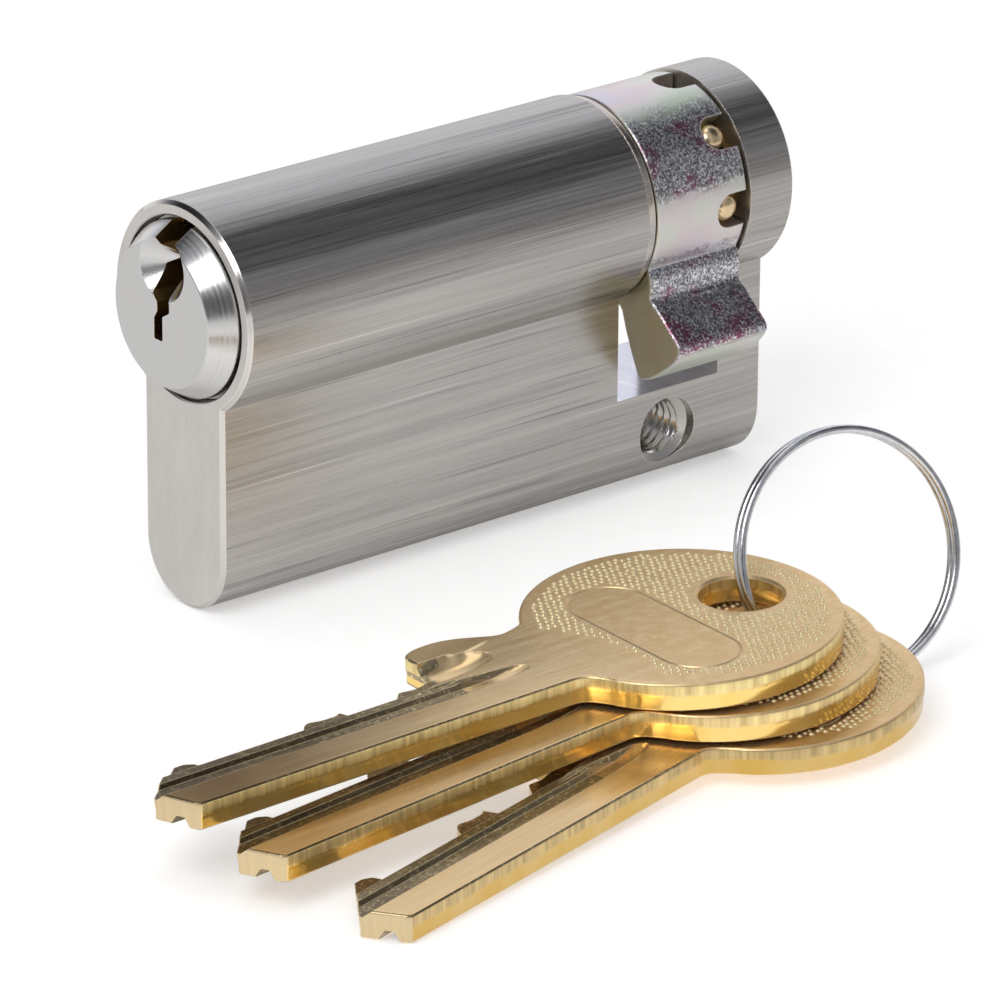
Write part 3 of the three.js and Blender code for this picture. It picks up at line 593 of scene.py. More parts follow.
def brushed_metal(name, dark, light, bright, lines, rough, depth, anisotropy=0.55, scratches=0.55):
    """Metal with brush lines: noise stretched along one direction on a fine and a coarse scale gives tone,
    roughness and height, its rare peaks and pits give scratches, and a slow noise gives cloudy patches."""
    finish = Finish(name)
    fine = finish.noise(finish.place(lines), 1.0, 4.0, 0.7)
    wide = finish.noise(finish.place(tuple(0.22 * share for share in lines)), 1.0, 3.0, 0.6)
    cloud = finish.noise(finish.place((90.0,) * 3), 1.0, 2.0)
    streaks = finish.maths("ADD", fine, wide)
    rare = finish.noise(finish.place(tuple(0.55 * share for share in lines)), 1.0, 1.0)
    tone = finish.blend(finish.span(streaks, 0.0, 1.0, 0.76, 1.24), dark, light)
    tone = finish.blend(finish.span(cloud, 0.0, 0.3), tone, light)
    if scratches:
        tone = finish.blend(finish.span(rare, 0.0, scratches, 0.67, 0.73), tone, bright)
        tone = finish.blend(finish.span(rare, scratches, 0.0, 0.27, 0.34), tone, shade(dark, 0.6))
    # Painted highlight, with wear, along the sharp edges
    tone = finish.blend(finish.edge_highlight_and_wear(), tone, bright)
    finish.shader.inputs["Anisotropic"].default_value = anisotropy
    if anisotropy:
        tangent = finish.put("ShaderNodeTangent", direction_type="RADIAL", axis="Y").outputs["Tangent"]
        finish.feed(finish.shader, "Tangent", tangent)
    finish.bumps((fine, depth), (wide, depth * 2))
    return finish.wear(tone, finish.span(streaks, rough[0], rough[1], 0.6, 1.4))


def turned_metal(name, dark, light, bright, rough=(0.14, 0.3)):
    """Metal faced on a lathe: rings from noise that reads only the distance to the barrel's axis and the
    place along it."""
    finish = Finish(name)
    coordinates = finish.put("ShaderNodeTexCoord").outputs["Object"]
    from_axis = {0: coordinates, 1: tuple(ORIGIN)}
    local = finish.put("ShaderNodeVectorMath", from_axis, operation="SUBTRACT").outputs["Vector"]
    flat = finish.put("ShaderNodeVectorMath", {0: local, 1: (1.0, 0.0, 1.0)}, operation="MULTIPLY")
    away = finish.put("ShaderNodeVectorMath", {0: flat.outputs["Vector"]}, operation="LENGTH")
    away = away.outputs["Value"]
    along = finish.put("ShaderNodeSeparateXYZ", {0: local}).outputs["Y"]
    ringed = finish.put("ShaderNodeCombineXYZ", {"X": away, "Y": along}).outputs["Vector"]
    rings = finish.noise(ringed, 9000.0, 2.0)
    cloud = finish.noise(finish.place((220.0,) * 3), 1.0, 3.0)
    tone = finish.blend(finish.span(rings, 0.0, 1.0, 0.3, 0.7), dark, light)
    tone = finish.blend(finish.span(cloud, 0.0, 0.4, 0.35, 0.75), tone, light)
    # Painted highlight, with wear, along the sharp edges
    tone = finish.blend(finish.edge_highlight_and_wear(), tone, bright)
    finish.bumps((rings, 0.006 * MM))
    return finish.wear(tone, finish.span(finish.maths("ADD", rings, cloud), rough[0], rough[1], 0.7, 1.3))


def key_metal(name, dark, light, bright, rough, scratch, grain=0.0, film=(1.0, 1.0, 1.0)):
    """Key brass on the key's own coordinates: scratches along the key, pits where grain is given, a matt
    bow, and a painted dark reflection in the colour given as film, which lies over the blade and fades out
    from the tip to the neck."""
    finish = Finish(name, metallic=0.92)
    long = finish.noise(finish.place((110.0, 1500.0, 1.0), source="UV"), 1.0, 4.0, 0.65)
    patch = finish.noise(finish.place((60.0, 60.0, 60.0), source="UV"), 1.0, 3.0)
    speckle = finish.noise(finish.place((950.0, 950.0, 950.0), source="UV"), 1.0, 2.0)
    along = finish.put("ShaderNodeSeparateXYZ", {0: finish.place((1.0, 1.0, 1.0), source="UV")}).outputs["X"]
    bow = finish.span(along, 0.0, 1.0, MATT_FROM, MATT_FULL)
    hammered = finish.maths("MULTIPLY", speckle, finish.span(bow, 0.25, 1.0))
    layers = [(long, scratch), (hammered, 0.022 * MM)]
    tone = finish.blend(finish.span(long, 0.0, 1.0, 0.3, 0.7), dark, light)
    tone = finish.blend(finish.span(patch, 0.0, 0.4, 0.4, 0.8), tone, dark)
    if grain:
        cells = finish.put("ShaderNodeTexVoronoi", {"Vector": finish.place((4300.0,) * 3), "Scale": 1.0})
        pits = finish.put("ShaderNodeSeparateXYZ", {0: cells.outputs["Color"]}).outputs["X"]
        layers.append((pits, grain))
        tone = finish.blend(finish.span(pits, 0.0, 0.75, 0.72, 0.98), tone, bright)
    tone = finish.blend(finish.maths("MULTIPLY", finish.span(speckle, 0.0, 1.0, 0.42, 0.66), bow), tone, dark)
    # Painted dark reflection: the colour given as film multiplies the blade, full near the tip and gone
    # towards the neck
    uneven = finish.maths("ADD", along, finish.maths("MULTIPLY", patch, 9 * MM))
    way = finish.span(uneven, 0.0, 1.0, 0.0, BLADE_SHADE_REACH)
    fading_shade = finish.ramp(way, [(0.2, film), (0.78, (1.0, 1.0, 1.0))])
    tone = finish.blend(1.0, tone, fading_shade, "MULTIPLY")
    # Painted highlight, with wear, along the sharp edges
    glint_and_wear = finish.edge_highlight_and_wear()
    tone = finish.blend(glint_and_wear, tone, bright)
    finish.bumps(*layers, edge=0.09 * MM)
    sheen = finish.span(finish.maths("ADD", long, patch), rough[0], rough[1], 0.7, 1.3)
    sheen = finish.maths("ADD", sheen, finish.span(bow, 0.0, 0.14))
    finish.feed(finish.shader, "Metallic", finish.span(glint_and_wear, 0.92, 0.35))
    return finish.wear(tone, finish.maths("ADD", sheen, finish.maths("MULTIPLY", glint_and_wear, 0.4)))


def blanked_wall(name, dark, light, shine, bright):
    """The blanked edge of a key: ribbed and matt above an uneven parting height, polished under it, where a
    deeper colour paints the reflection that neighbouring brass throws into it. Heights come from the key's
    second map."""
    finish = Finish(name)
    sideways = finish.put("ShaderNodeUVMap", uv_map="key_rise").outputs["UV"]
    height = finish.put("ShaderNodeSeparateXYZ", {0: sideways}).outputs["Y"]
    ribs = finish.noise(finish.place((1500.0, 1500.0, 1.0), source="UV"), 1.0, 3.0, 0.6)
    patch = finish.noise(finish.place((260.0, 260.0, 1.0), source="UV"), 1.0, 2.0)
    waves = ((ribs, 0.5 * MM), (patch, 0.7 * MM))
    uneven = [finish.maths("MULTIPLY", wave, depth) for wave, depth in waves]
    level = finish.maths("ADD", height, finish.maths("ADD", *uneven))
    ribbed = finish.span(level, 0.0, 1.0, PARTING_HEIGHT + 0.48 * MM, PARTING_HEIGHT + 0.76 * MM)
    upper = finish.blend(finish.span(ribs, 0.0, 1.0, 0.34, 0.62), dark, light)
    # The lower band is polished, and its deeper colour is a painted reflection of neighbouring brass
    lower = finish.blend(finish.span(patch, 0.0, 0.6, 0.35, 0.65), shine, light)
    tone = finish.blend(ribbed, lower, upper)
    # Painted highlight, with wear, along the sharp edges
    glint_and_wear = finish.edge_highlight_and_wear()
    tone = finish.blend(glint_and_wear, tone, bright)
    finish.bumps((finish.maths("MULTIPLY", ribs, ribbed), 0.03 * MM), (patch, 0.02 * MM), edge=0.06 * MM)
    finish.feed(finish.shader, "Metallic", finish.span(glint_and_wear, 0.8, 0.35))
    sheen = finish.span(ribbed, 0.14, 0.36)
    return finish.wear(tone, finish.maths("ADD", sheen, finish.maths("MULTIPLY", glint_and_wear, 0.4)))


def chromated_zinc(name, shine, film, grit, bright):
    """Zinc plate with a chromate film: a slow noise runs through the film's pale colours; in bands by
    height the plate is grown of small cells, each with its own grey and its own height, stained red in
    places; the front and back faces keep an even olive tone."""
    finish = Finish(name, metallic=0.95)
    slow = finish.noise(finish.place((170.0, 110.0, 170.0)), 1.0, 2.0, 0.45)
    pale = finish.ramp(slow, [(0.30 + 0.40 * i / (len(film) - 1), tone) for i, tone in enumerate(film)])
    ragged = finish.noise(finish.place((420.0,) * 3), 1.0, 4.0, 0.7)
    height = finish.put("ShaderNodeSeparateXYZ", {0: finish.place((1.0,) * 3)}).outputs["Z"]
    height = finish.maths("ADD", height, finish.maths("MULTIPLY", ragged, 1.6 * MM))
    bands = finish.ramp(finish.span(height, 0.0, 1.0, *CAM_BAND_LEVELS), CAM_BANDS)
    flat = finish.put("ShaderNodeNewGeometry").outputs["True Normal"]
    own = finish.put("ShaderNodeVectorTransform", {"Vector": flat}, vector_type="NORMAL",
                     convert_from="WORLD", convert_to="OBJECT")
    facing = finish.put("ShaderNodeSeparateXYZ", {0: own.outputs["Vector"]})
    across = finish.span(finish.maths("ABSOLUTE", facing.outputs["Y"]), 0.0, 1.0, 0.8, 0.95)
    upward = finish.span(facing.outputs["Z"], 0.0, 1.0, -0.5, -0.38)
    patch = finish.maths("MULTIPLY", bands, finish.maths("SUBTRACT", upward, across))
    cells = finish.put("ShaderNodeTexVoronoi", {"Vector": finish.place((6400.0,) * 3), "Scale": 1.0})
    parts = finish.put("ShaderNodeSeparateXYZ", {0: cells.outputs["Color"]})
    stain = finish.span(finish.noise(finish.place((330.0,) * 3), 1.0, 2.0), 0.0, 0.85, 0.5, 0.62)
    grey = parts.outputs["X"]
    grains = finish.ramp(grey, [(0.0, grit[0]), (0.45, grit[1]), (0.78, grit[2]), (0.95, bright)])
    stained = finish.maths("MULTIPLY", stain, finish.span(grey, 1.0, 0.0, 0.6, 0.9))
    grains = finish.blend(stained, grains, grit[3])
    tone = finish.blend(patch, pale, grains)
    tone = finish.blend(across, tone, grit[4])
    # Painted highlight, with wear, along the sharp edges
    tone = finish.blend(finish.edge_highlight_and_wear(0.22 * MM), tone, bright)
    grown = finish.maths("MULTIPLY", patch, parts.outputs["Y"])
    finish.bumps((grown, 0.07 * MM), (slow, 0.05 * MM), edge=0.14 * MM)
    return finish.wear(tone, finish.span(patch, shine[0], shine[1]))


def drawn_wire(name, dark, light, bright, scale):
    """Bright wire: fine drawing scratches from noise, with darker stains in slow patches."""
    finish = Finish(name)
    fine = finish.noise(finish.place((scale,) * 3), 1.0, 4.0, 0.7)
    slow = finish.noise(finish.place((scale * 0.08,) * 3), 1.0, 2.0)
    tone = finish.blend(finish.span(finish.maths("ADD", fine, slow), 0.0, 1.0, 0.75, 1.25), dark, light)
    # Painted highlight, with wear, along the sharp edges
    tone = finish.blend(finish.edge_highlight_and_wear(), tone, bright)
    finish.bumps((fine, 0.006 * MM))
    return finish.wear(tone, finish.span(fine, 0.12, 0.28, 0.3, 0.7))


def shade(colour, share):
    """A colour with each channel times a share, at most one."""
    return tuple(min(1.0, channel * share) for channel in colour[:3])


# Properties

def colour(name, description, default):
    """A property that holds a colour."""
    return bpy.props.FloatVectorProperty(
        name=name, description=description, subtype="COLOR", size=3, min=0.0, max=1.0, default=default)


def length(name, description, default, least=0.0):
    """A property that holds a length in metres."""
    return bpy.props.FloatProperty(
        name=name, description=description, default=default, min=least, unit="LENGTH", precision=5)


class CylinderSizes(bpy.types.PropertyGroup):
    """Sizes of the fine trim that the solids don't have"""
    edge: length("Housing edge", "Width of the chamfer on the housing's end edges", 0.33 * MM)
    key_edge: length("Key edge", "How far the rounding of a key's face edges reaches", 0.24 * MM)
    dot_pitch: length("Dot pitch", "Distance between the raised dots on a key's bow", 0.6 * MM, 0.3 * MM)
    dot_radius: length("Dot radius", "Radius of one raised dot", 0.175 * MM)
    dot_height: length("Dot height", "Height of one raised dot", 0.14 * MM)
    border: length("Border groove", "Width of the groove round the bow's oval plate", 0.24 * MM)


class CylinderFinishes(bpy.types.PropertyGroup):
    """Colours that the finishes are mixed from"""
    nickel: colour("Nickel", "Plating of the housing", (0.64, 0.61, 0.58))
    plug_nickel: colour("Plug nickel", "Plating of the plug", (0.74, 0.73, 0.72))
    brass: colour("Brass", "Drive core, pins and stoppers", (0.68, 0.45, 0.17))
    key_brass: colour("Key brass", "Faces of the keys", (0.98, 0.765, 0.455))
    key_wall: colour("Key walls", "Blanked walls and cuts of the keys", (1.0, 0.74, 0.34))
    # The polished band's colour is partly painted reflection: the warm light that neighbouring brass throws
    # on it
    key_band_reflection: colour("Polished band", "Lower, polished part of a key's walls", (1.0, 0.64, 0.15))
    steel: colour("Spring steel", "Ring, springs and clip", (0.72, 0.72, 0.74))
    zinc: colour("Zinc film", "Palest tone of the cam's chromate film", (0.80, 0.79, 0.74))


def sizes():
    """The sizes as they are set in the scene."""
    return bpy.context.scene.cylinder_sizes


def tones():
    """The colours as they are set in the scene."""
    return bpy.context.scene.cylinder_finishes


# Housing

def housing_outline():
    """The euro profile: the barrel's arc between the two necks and the web's half circle at the bottom."""
    neck = -math.degrees(math.acos(WEB_HALF / BARREL_RADIUS))
    barrel = circle(BARREL_RADIUS, BARREL_ARC_STEPS, neck, 180 - neck, closed=False)
    bottom = circle(WEB_HALF, WEB_ARC_STEPS, 180, 360, closed=False) + [0, WEB_BOTTOM + WEB_HALF]
    return np.concatenate([barrel, bottom])


def thread_tap():
    """The screw hole's space: at place a and angle t its radius goes from the minor to the major one by a
    sharp wave of a / pitch + t / turn, with small flats at both. It is at least the mouth's, which is a
    short cylinder on each side of the web with a cone behind it."""
    past = WEB_HALF + OVERRUN
    turns = 2 * past / THREAD_PITCH
    along = np.linspace(-past, past, int(turns * THREAD_ROWS))[:, None]
    angle = np.linspace(0.0, TURN, THREAD_SIDES, endpoint=False)[None, :]
    wave = np.abs(((along / THREAD_PITCH + angle / TURN) % 1.0) * 2 - 1).clip(*THREAD_FLATS)
    thread = THREAD_MINOR + (THREAD_MAJOR - THREAD_MINOR) * wave
    mouth = SCREW_MOUTH_RADIUS + np.minimum(0, np.abs(along) - WEB_HALF + SCREW_MOUTH_DEPTH) * 2
    radius = np.maximum(thread, mouth + 0 * angle)
    radius[0] = radius[-1] = 0
    grid = np.stack([along + 0 * angle, radius * np.cos(angle), radius * np.sin(angle)], axis=-1)
    return closed_piece("tap", grid + [0.0, MIDDLE, -HOLE_DROP], capped=False)


def box_cut(name, low, high):
    """A block between two corners, as an outline in x and z carried along Y."""
    outline = np.array([[low[0], low[2]], [high[0], low[2]], [high[0], high[2]], [low[0], high[2]]])
    return along_y(name, outline, [(0, low[1]), (0, high[1])])


class CYLINDER_OT_housing(bpy.types.Operator):
    """Makes the nickel-plated housing with its bores, slot, pin chambers and threaded screw hole"""
    bl_idname = "cylinder.housing"
    bl_label = "Housing"

    def execute(self, context):
        edge = sizes().edge
        rings = edge_rings(0.0, HOUSING_LENGTH, edge, edge, 2)
        body = along_y("housing_shell", housing_outline(), rings)
        bore = softened([
            (0, -OVERRUN, 0), (COUNTERBORE_RADIUS + OVERRUN + MOUTH_CHAMFER, -OVERRUN, 0),
            (COUNTERBORE_RADIUS, MOUTH_CHAMFER, 0), (COUNTERBORE_RADIUS, COUNTERBORE_DEPTH, 0.1 * MM),
            (BORE_RADIUS, COUNTERBORE_DEPTH, 0), (BORE_RADIUS, SLOT_FRONT + OVERRUN, 0),
            (0, SLOT_FRONT + OVERRUN, 0)])
        tail = [(0, SLOT_REAR - OVERRUN), (TAIL_BORE_RADIUS, SLOT_REAR - OVERRUN),
                (TAIL_BORE_RADIUS, SLOT_REAR + TAIL_BORE_DEPTH), (0, SLOT_REAR + TAIL_BORE_DEPTH)]
        side = BARREL_RADIUS + OVERRUN
        chamber = [(0, WEB_BOTTOM - OVERRUN), (CHAMBER_RADIUS, WEB_BOTTOM - OVERRUN),
                   (CHAMBER_RADIUS, -BORE_RADIUS + OVERRUN), (0, -BORE_RADIUS + OVERRUN)]
        cuts = [
            turned("bore", bore, BARREL_SIDES), turned("tail", tail, BORE_SIDES),
            box_cut("slot", (-side, SLOT_FRONT, SLOT_FLOOR), (side, SLOT_REAR, side)), thread_tap(),
            *(turned("chamber", chamber, PIN_SIDES, "Z", (0, place, 0)) for place in CHAMBERS)]
        shaped(body, cuts)
        nickel = tuple(tones().nickel)
        side_wall = brushed_metal("satin_nickel", shade(nickel, 0.62), nickel, shade(nickel, 1.3),
                                  (4800.0, 60.0, 4800.0), rough=(0.2, 0.4), depth=0.014 * MM)
        end_wall = brushed_metal("ground_nickel", shade(nickel, 1.06), shade(nickel, 1.2),
                                 shade(nickel, 1.45), (2600.0, 2600.0, 900.0), rough=(0.3, 0.42),
                                 depth=0.006 * MM, anisotropy=0.0, scratches=0.0)
        bare = turned_metal("bored_brass", shade(tones().brass, 0.55), shade(tones().brass, 0.9),
                            shade(tones().brass, 1.3), (0.25, 0.4))
        thread = turned_metal("tapped_nickel", shade(nickel, 0.8), shade(nickel, 1.15), shade(nickel, 1.4),
                              (0.12, 0.25))
        burnished = turned_metal("burnished_nickel", nickel, shade(nickel, 1.2), shade(nickel, 1.5),
                                 (0.1, 0.2))
        milled = brushed_metal("milled_nickel", (0.66, 0.65, 0.72), (0.78, 0.77, 0.84), (0.95, 0.95, 0.97),
                               (300.0, 2600.0, 300.0), rough=(0.08, 0.2), depth=0.004 * MM, anisotropy=0.0)
        middle, normal = face_table(body.data)
        away = np.hypot(middle[:, 0], middle[:, 2])
        hole = np.hypot(middle[:, 1] - MIDDLE, middle[:, 2] + HOLE_DROP)
        facing = np.abs(normal[:, 1])
        wall_from = BORE_RADIUS + 0.3 * MM
        in_slot = (middle[:, 1] > SLOT_FRONT) & (middle[:, 1] < SLOT_REAR)
        materials = [side_wall, end_wall, bare, thread, burnished, milled]
        choice = np.zeros(len(middle), dtype=int)
        for material, faces in (
                (end_wall, facing > 0.7),
                (bare, (away < wall_from) & (facing < 0.7)),
                (thread, (hole < SCREW_MOUTH_RADIUS) & (np.abs(middle[:, 0]) < WEB_HALF - 0.01 * MM)),
                (burnished, (facing > 0.35) & (facing < 0.92) & (hole > SCREW_MOUTH_RADIUS)
                 & (away > wall_from)),
                (milled, (np.abs(middle[:, 2] - SLOT_FLOOR) < 0.02 * MM) & in_slot)):
            choice[faces] = materials.index(material)
        finish_piece(body, "lock_body", ["housing"], materials, choice)
        return {"FINISHED"}


# Plug

def keyway_space():
    """The keyway: the key's two face tables with play all round, open at the top of the plug, carried
    along Y."""
    above = HEAD_RADIUS + OVERRUN

    def side(table, play):
        """A face table as corners (x, z, reach), moved sideways by the play."""
        place = KEY_UNDERSIDE + table[:, 1] * KEY_THICKNESS + play
        height = KEY_BACK_HEIGHT - table[:, 0] * BLADE_HEIGHT
        height[0] = above
        height[-1] -= KEY_PLAY
        return np.stack([place, height, np.full(len(table), 0.0)], axis=1)

    right = side(UPPER_FACE, KEY_PLAY)
    left = side(UNDER_FACE, -KEY_PLAY)
    for table in (right, left):
        table[1:, 2] = 0.12 * MM
    outline = softened(np.concatenate([left, right[::-1]]), 4)
    return along_y("keyway", outline, [(0, -FACE_OUT - OVERRUN), (0, PLUG_LENGTH + OVERRUN)])


class CYLINDER_OT_plug(bpy.types.Operator):
    """Makes the plug with its bevelled head, its dished keyway and the chambers of its five pins"""
    bl_idname = "cylinder.plug"
    bl_label = "Plug"

    def execute(self, context):
        round_off = 0.16 * MM
        profile = softened([
            (0, -FACE_OUT, 0), (FACE_RADIUS, -FACE_OUT, round_off), (HEAD_RADIUS, 0, round_off),
            (HEAD_RADIUS, HEAD_DEPTH, 0.1 * MM), (PLUG_RADIUS, HEAD_DEPTH, 0),
            (PLUG_RADIUS, PLUG_LENGTH, round_off), (0, PLUG_LENGTH, 0)], 6)
        body = turned("plug_barrel", profile, BARREL_SIDES)
        dish = [(0, -FACE_OUT - OVERRUN), (DISH_RADIUS + OVERRUN, -FACE_OUT - OVERRUN),
                (0.35 * MM, DISH_RADIUS - FACE_OUT - 0.35 * MM), (0, DISH_RADIUS - FACE_OUT - 0.2 * MM)]
        chamber = [(0, -PLUG_RADIUS - OVERRUN), (CHAMBER_RADIUS, -PLUG_RADIUS - OVERRUN),
                   (CHAMBER_RADIUS, CHAMBER_TOP - 0.4 * MM), (0.5 * MM, CHAMBER_TOP), (0, CHAMBER_TOP)]
        side = PLUG_RADIUS + OVERRUN
        cuts = [
            keyway_space(), turned("dish", dish, BORE_SIDES, "Y", (DISH_OFFSET, 0, DISH_HEIGHT)),
            box_cut("tongue_slot", (-side, PLUG_LENGTH - TONGUE_LENGTH, -TONGUE_HALF),
                    (side, PLUG_LENGTH + OVERRUN, TONGUE_HALF)),
            *(turned("chamber", chamber, PIN_SIDES, "Z", (0, place, 0)) for place in CHAMBERS)]
        shaped(body, cuts)
        plate = tuple(tones().plug_nickel)
        face = turned_metal("turned_nickel", shade(plate, 0.9), plate, shade(plate, 1.25))
        bare = turned_metal("cut_brass", shade(tones().brass, 0.35), shade(tones().brass, 0.75),
                            shade(tones().brass, 1.2), (0.25, 0.42))
        middle, normal = face_table(body.data)
        away = np.hypot(middle[:, 0], middle[:, 2])
        inside = (away < FACE_RADIUS) & (np.abs(normal[:, 1]) < 0.3) & (middle[:, 1] > -FACE_OUT + 0.01 * MM)
        behind = (middle[:, 1] > HEAD_DEPTH + 0.05 * MM)
        finish_piece(body, "plug_set", ["plug"], [face, bare], (inside | behind).astype(int))
        return {"FINISHED"}


# Drive core, clip, cam and detent pins

class CYLINDER_OT_drive(bpy.types.Operator):
    """Makes the brass drive core, the retaining clip, the notched cam and the two detent pins"""
    bl_idname = "cylinder.drive"
    bl_label = "Drive core, clip, cam and detents"

    def execute(self, context):
        brass = tuple(tones().brass)
        drum = turned_metal("turned_brass", shade(brass, 0.75), brass, shade(brass, 1.35), (0.18, 0.34))
        self.core(drum)
        self.clip()
        self.cam()
        # The detent domes get a paler brass than the drum: painted light that shows them lit
        self.detents(turned_metal("domed_brass", (0.86, 0.64, 0.38), (0.98, 0.78, 0.50), (1.0, 0.9, 0.7),
                                  (0.14, 0.26)))
        return {"FINISHED"}

    def core(self, drum):
        """A turned drum with the clip's groove and the tail, joined to a tongue for the plug and bored for
        the two detents."""
        front = PLUG_LENGTH + TOUCH_GAP
        groove_front = CLIP_FRONT - RUN_GAP
        groove_rear = CLIP_REAR + RUN_GAP
        tail_end = SLOT_REAR + TAIL_BORE_DEPTH - TOUCH_GAP
        soft = 0.15 * MM
        profile = softened([
            (0, front, 0), (PLUG_RADIUS, front, soft), (PLUG_RADIUS, groove_front, soft),
            (CLIP_GROOVE_RADIUS, groove_front, 0), (CLIP_GROOVE_RADIUS, groove_rear, 0),
            (CORE_SEAT_RADIUS, groove_rear, soft), (CORE_SEAT_RADIUS, CAM_REAR, soft),
            (CORE_TAIL_RADIUS, CAM_REAR, 0), (CORE_TAIL_RADIUS, tail_end, soft), (0, tail_end, 0)], 5)
        body = turned("core_drum", profile, DRUM_SIDES)
        half = TONGUE_HALF - RUN_GAP
        tongue = box_cut("tongue", (-TONGUE_HALF_WIDTH, PLUG_LENGTH - TONGUE_LENGTH + TOUCH_GAP, -half),
                         (TONGUE_HALF_WIDTH, front + OVERRUN, half))
        radius = DETENT_RADIUS + RUN_GAP
        hole = [(0, DETENT_HOLE_FLOOR), (radius, DETENT_HOLE_FLOOR),
                (radius, CORE_SEAT_RADIUS + OVERRUN), (0, CORE_SEAT_RADIUS + OVERRUN)]
        holes = [radial_bar("detent_hole", hole, self.notch_angle(i), NOTCH_PLACE, PIN_SIDES) for i in (0, 1)]
        shaped(body, holes, [tongue])
        finish_piece(body, "plug_set", ["drive_core"], [drum])

    def notch_angle(self, index):
        """Where a notch lies round the barrel's axis, in radians from X."""
        return math.radians(NOTCH_PHASE + index * 360.0 / NOTCHES)

    def clip(self):
        """An open washer: its section (r, y) turned about the axis from one end of its mouth to the other."""
        steel = tuple(tones().steel)
        soft = 0.12 * MM
        section = softened([
            (CLIP_INNER_RADIUS, CLIP_FRONT, soft), (CAM_RADIUS, CLIP_FRONT, soft),
            (CAM_RADIUS, CLIP_REAR, soft), (CLIP_INNER_RADIUS, CLIP_REAR, soft)], 4)
        angle = np.linspace(-TURN / 4 + CLIP_MOUTH, TURN * 3 / 4 - CLIP_MOUTH, CLIP_STEPS)[:, None]
        grid = np.stack([section[None, :, 0] * np.cos(angle), section[None, :, 1] + 0 * angle,
                         section[None, :, 0] * np.sin(angle)], axis=-1)
        body = closed_piece("clip_washer", grid, capped=True)
        stained = (0.88, 0.74, 0.60)
        finish = drawn_wire("clip_steel_bright", shade(steel, 0.7), stained, shade(steel, 1.4), 2600.0)
        finish_piece(body, "plug_set", ["retaining_clip"], [finish])

    def cam(self):
        """A sleeve about the barrel's axis with the nose as a plate across it, bored out and notched."""
        soft = 0.28 * MM
        sleeve = softened([
            (0, CAM_FRONT, 0), (CAM_RADIUS, CAM_FRONT, soft), (CAM_RADIUS, CAM_REAR, soft),
            (0, CAM_REAR, 0)], 5)
        body = turned("cam_sleeve", sleeve, BARREL_SIDES)
        radius = NOSE_CORNERS[:, 0] * NOSE_RADIUS
        angle = np.radians(NOSE_CORNERS[:, 1])
        outline = np.stack([radius * np.cos(angle), radius * np.sin(angle), NOSE_CORNERS[:, 2] * MM], axis=1)
        nose = along_y("nose", softened(outline, 5), edge_rings(CAM_FRONT, CAM_REAR, 0.3 * MM, 0.3 * MM, 5))
        bore = turned("cam_bore", [
            (0, CAM_FRONT - OVERRUN), (CAM_BORE_RADIUS, CAM_FRONT - OVERRUN),
            (CAM_BORE_RADIUS, CAM_REAR + OVERRUN), (0, CAM_REAR + OVERRUN)], DRUM_SIDES)
        cuts = [bore] + [self.notch(i) for i in range(NOTCHES)]
        shaped(body, cuts, [nose])
        zinc = tuple(tones().zinc)
        film = [(0.66, 0.78, 0.60), (0.74, 0.79, 0.68), zinc, (0.82, 0.72, 0.72), (0.76, 0.70, 0.76),
                (0.72, 0.74, 0.76)]
        grit = [(0.16, 0.15, 0.17), (0.42, 0.42, 0.45), (0.74, 0.74, 0.77), (0.34, 0.10, 0.18),
                (0.50, 0.45, 0.31)]
        rough = chromated_zinc("zinc_film", (0.36, 0.30), film, grit, (1.0, 1.0, 1.0))
        finish_piece(body, "plug_set", ["cam"], [rough])

    def notch(self, index):
        """The space of one notch: a half circle with straight sides, open to the back, carried outwards."""
        straight = CAM_REAR - NOTCH_PLACE + OVERRUN
        half = circle(NOTCH_RADIUS, 25, 180, 360, closed=False)
        outline = np.concatenate([half, [[NOTCH_RADIUS, straight], [-NOTCH_RADIUS, straight]]])
        angle = self.notch_angle(index)
        out = np.array([math.cos(angle), 0.0, math.sin(angle)])
        side = np.array([-math.sin(angle), 0.0, math.cos(angle)])
        flat = outline[:, :1] * side + outline[:, 1:] * np.array([0.0, 1.0, 0.0]) + [0.0, NOTCH_PLACE, 0.0]
        near, far = flat + out * OVERRUN, flat + out * NOTCH_REACH
        return closed_piece("notch", np.stack([near, far]), capped=True)

    def detents(self, drum):
        """Two pins that point out of the axis: each a turned bar whose end is a quarter ellipse."""
        quarter = circle(1.0, 14, 0, 90, closed=False) * [DETENT_RADIUS, DETENT_DOME]
        profile = np.concatenate([
            [[0, DETENT_FOOT], [DETENT_RADIUS - 0.1 * MM, DETENT_FOOT],
             [DETENT_RADIUS, DETENT_FOOT + 0.1 * MM]],
            quarter + [0, DETENT_TOP - DETENT_DOME]])
        for index in (0, 1):
            angle = self.notch_angle(index)
            pin = radial_bar(f"detent_dome_{index + 1}", profile, angle, NOTCH_PLACE, PIN_SIDES)
            finish_piece(pin, f"detent_pin_body_{index + 1}", [f"detent_pin_{index + 1}"], [drum])


# Pin stacks

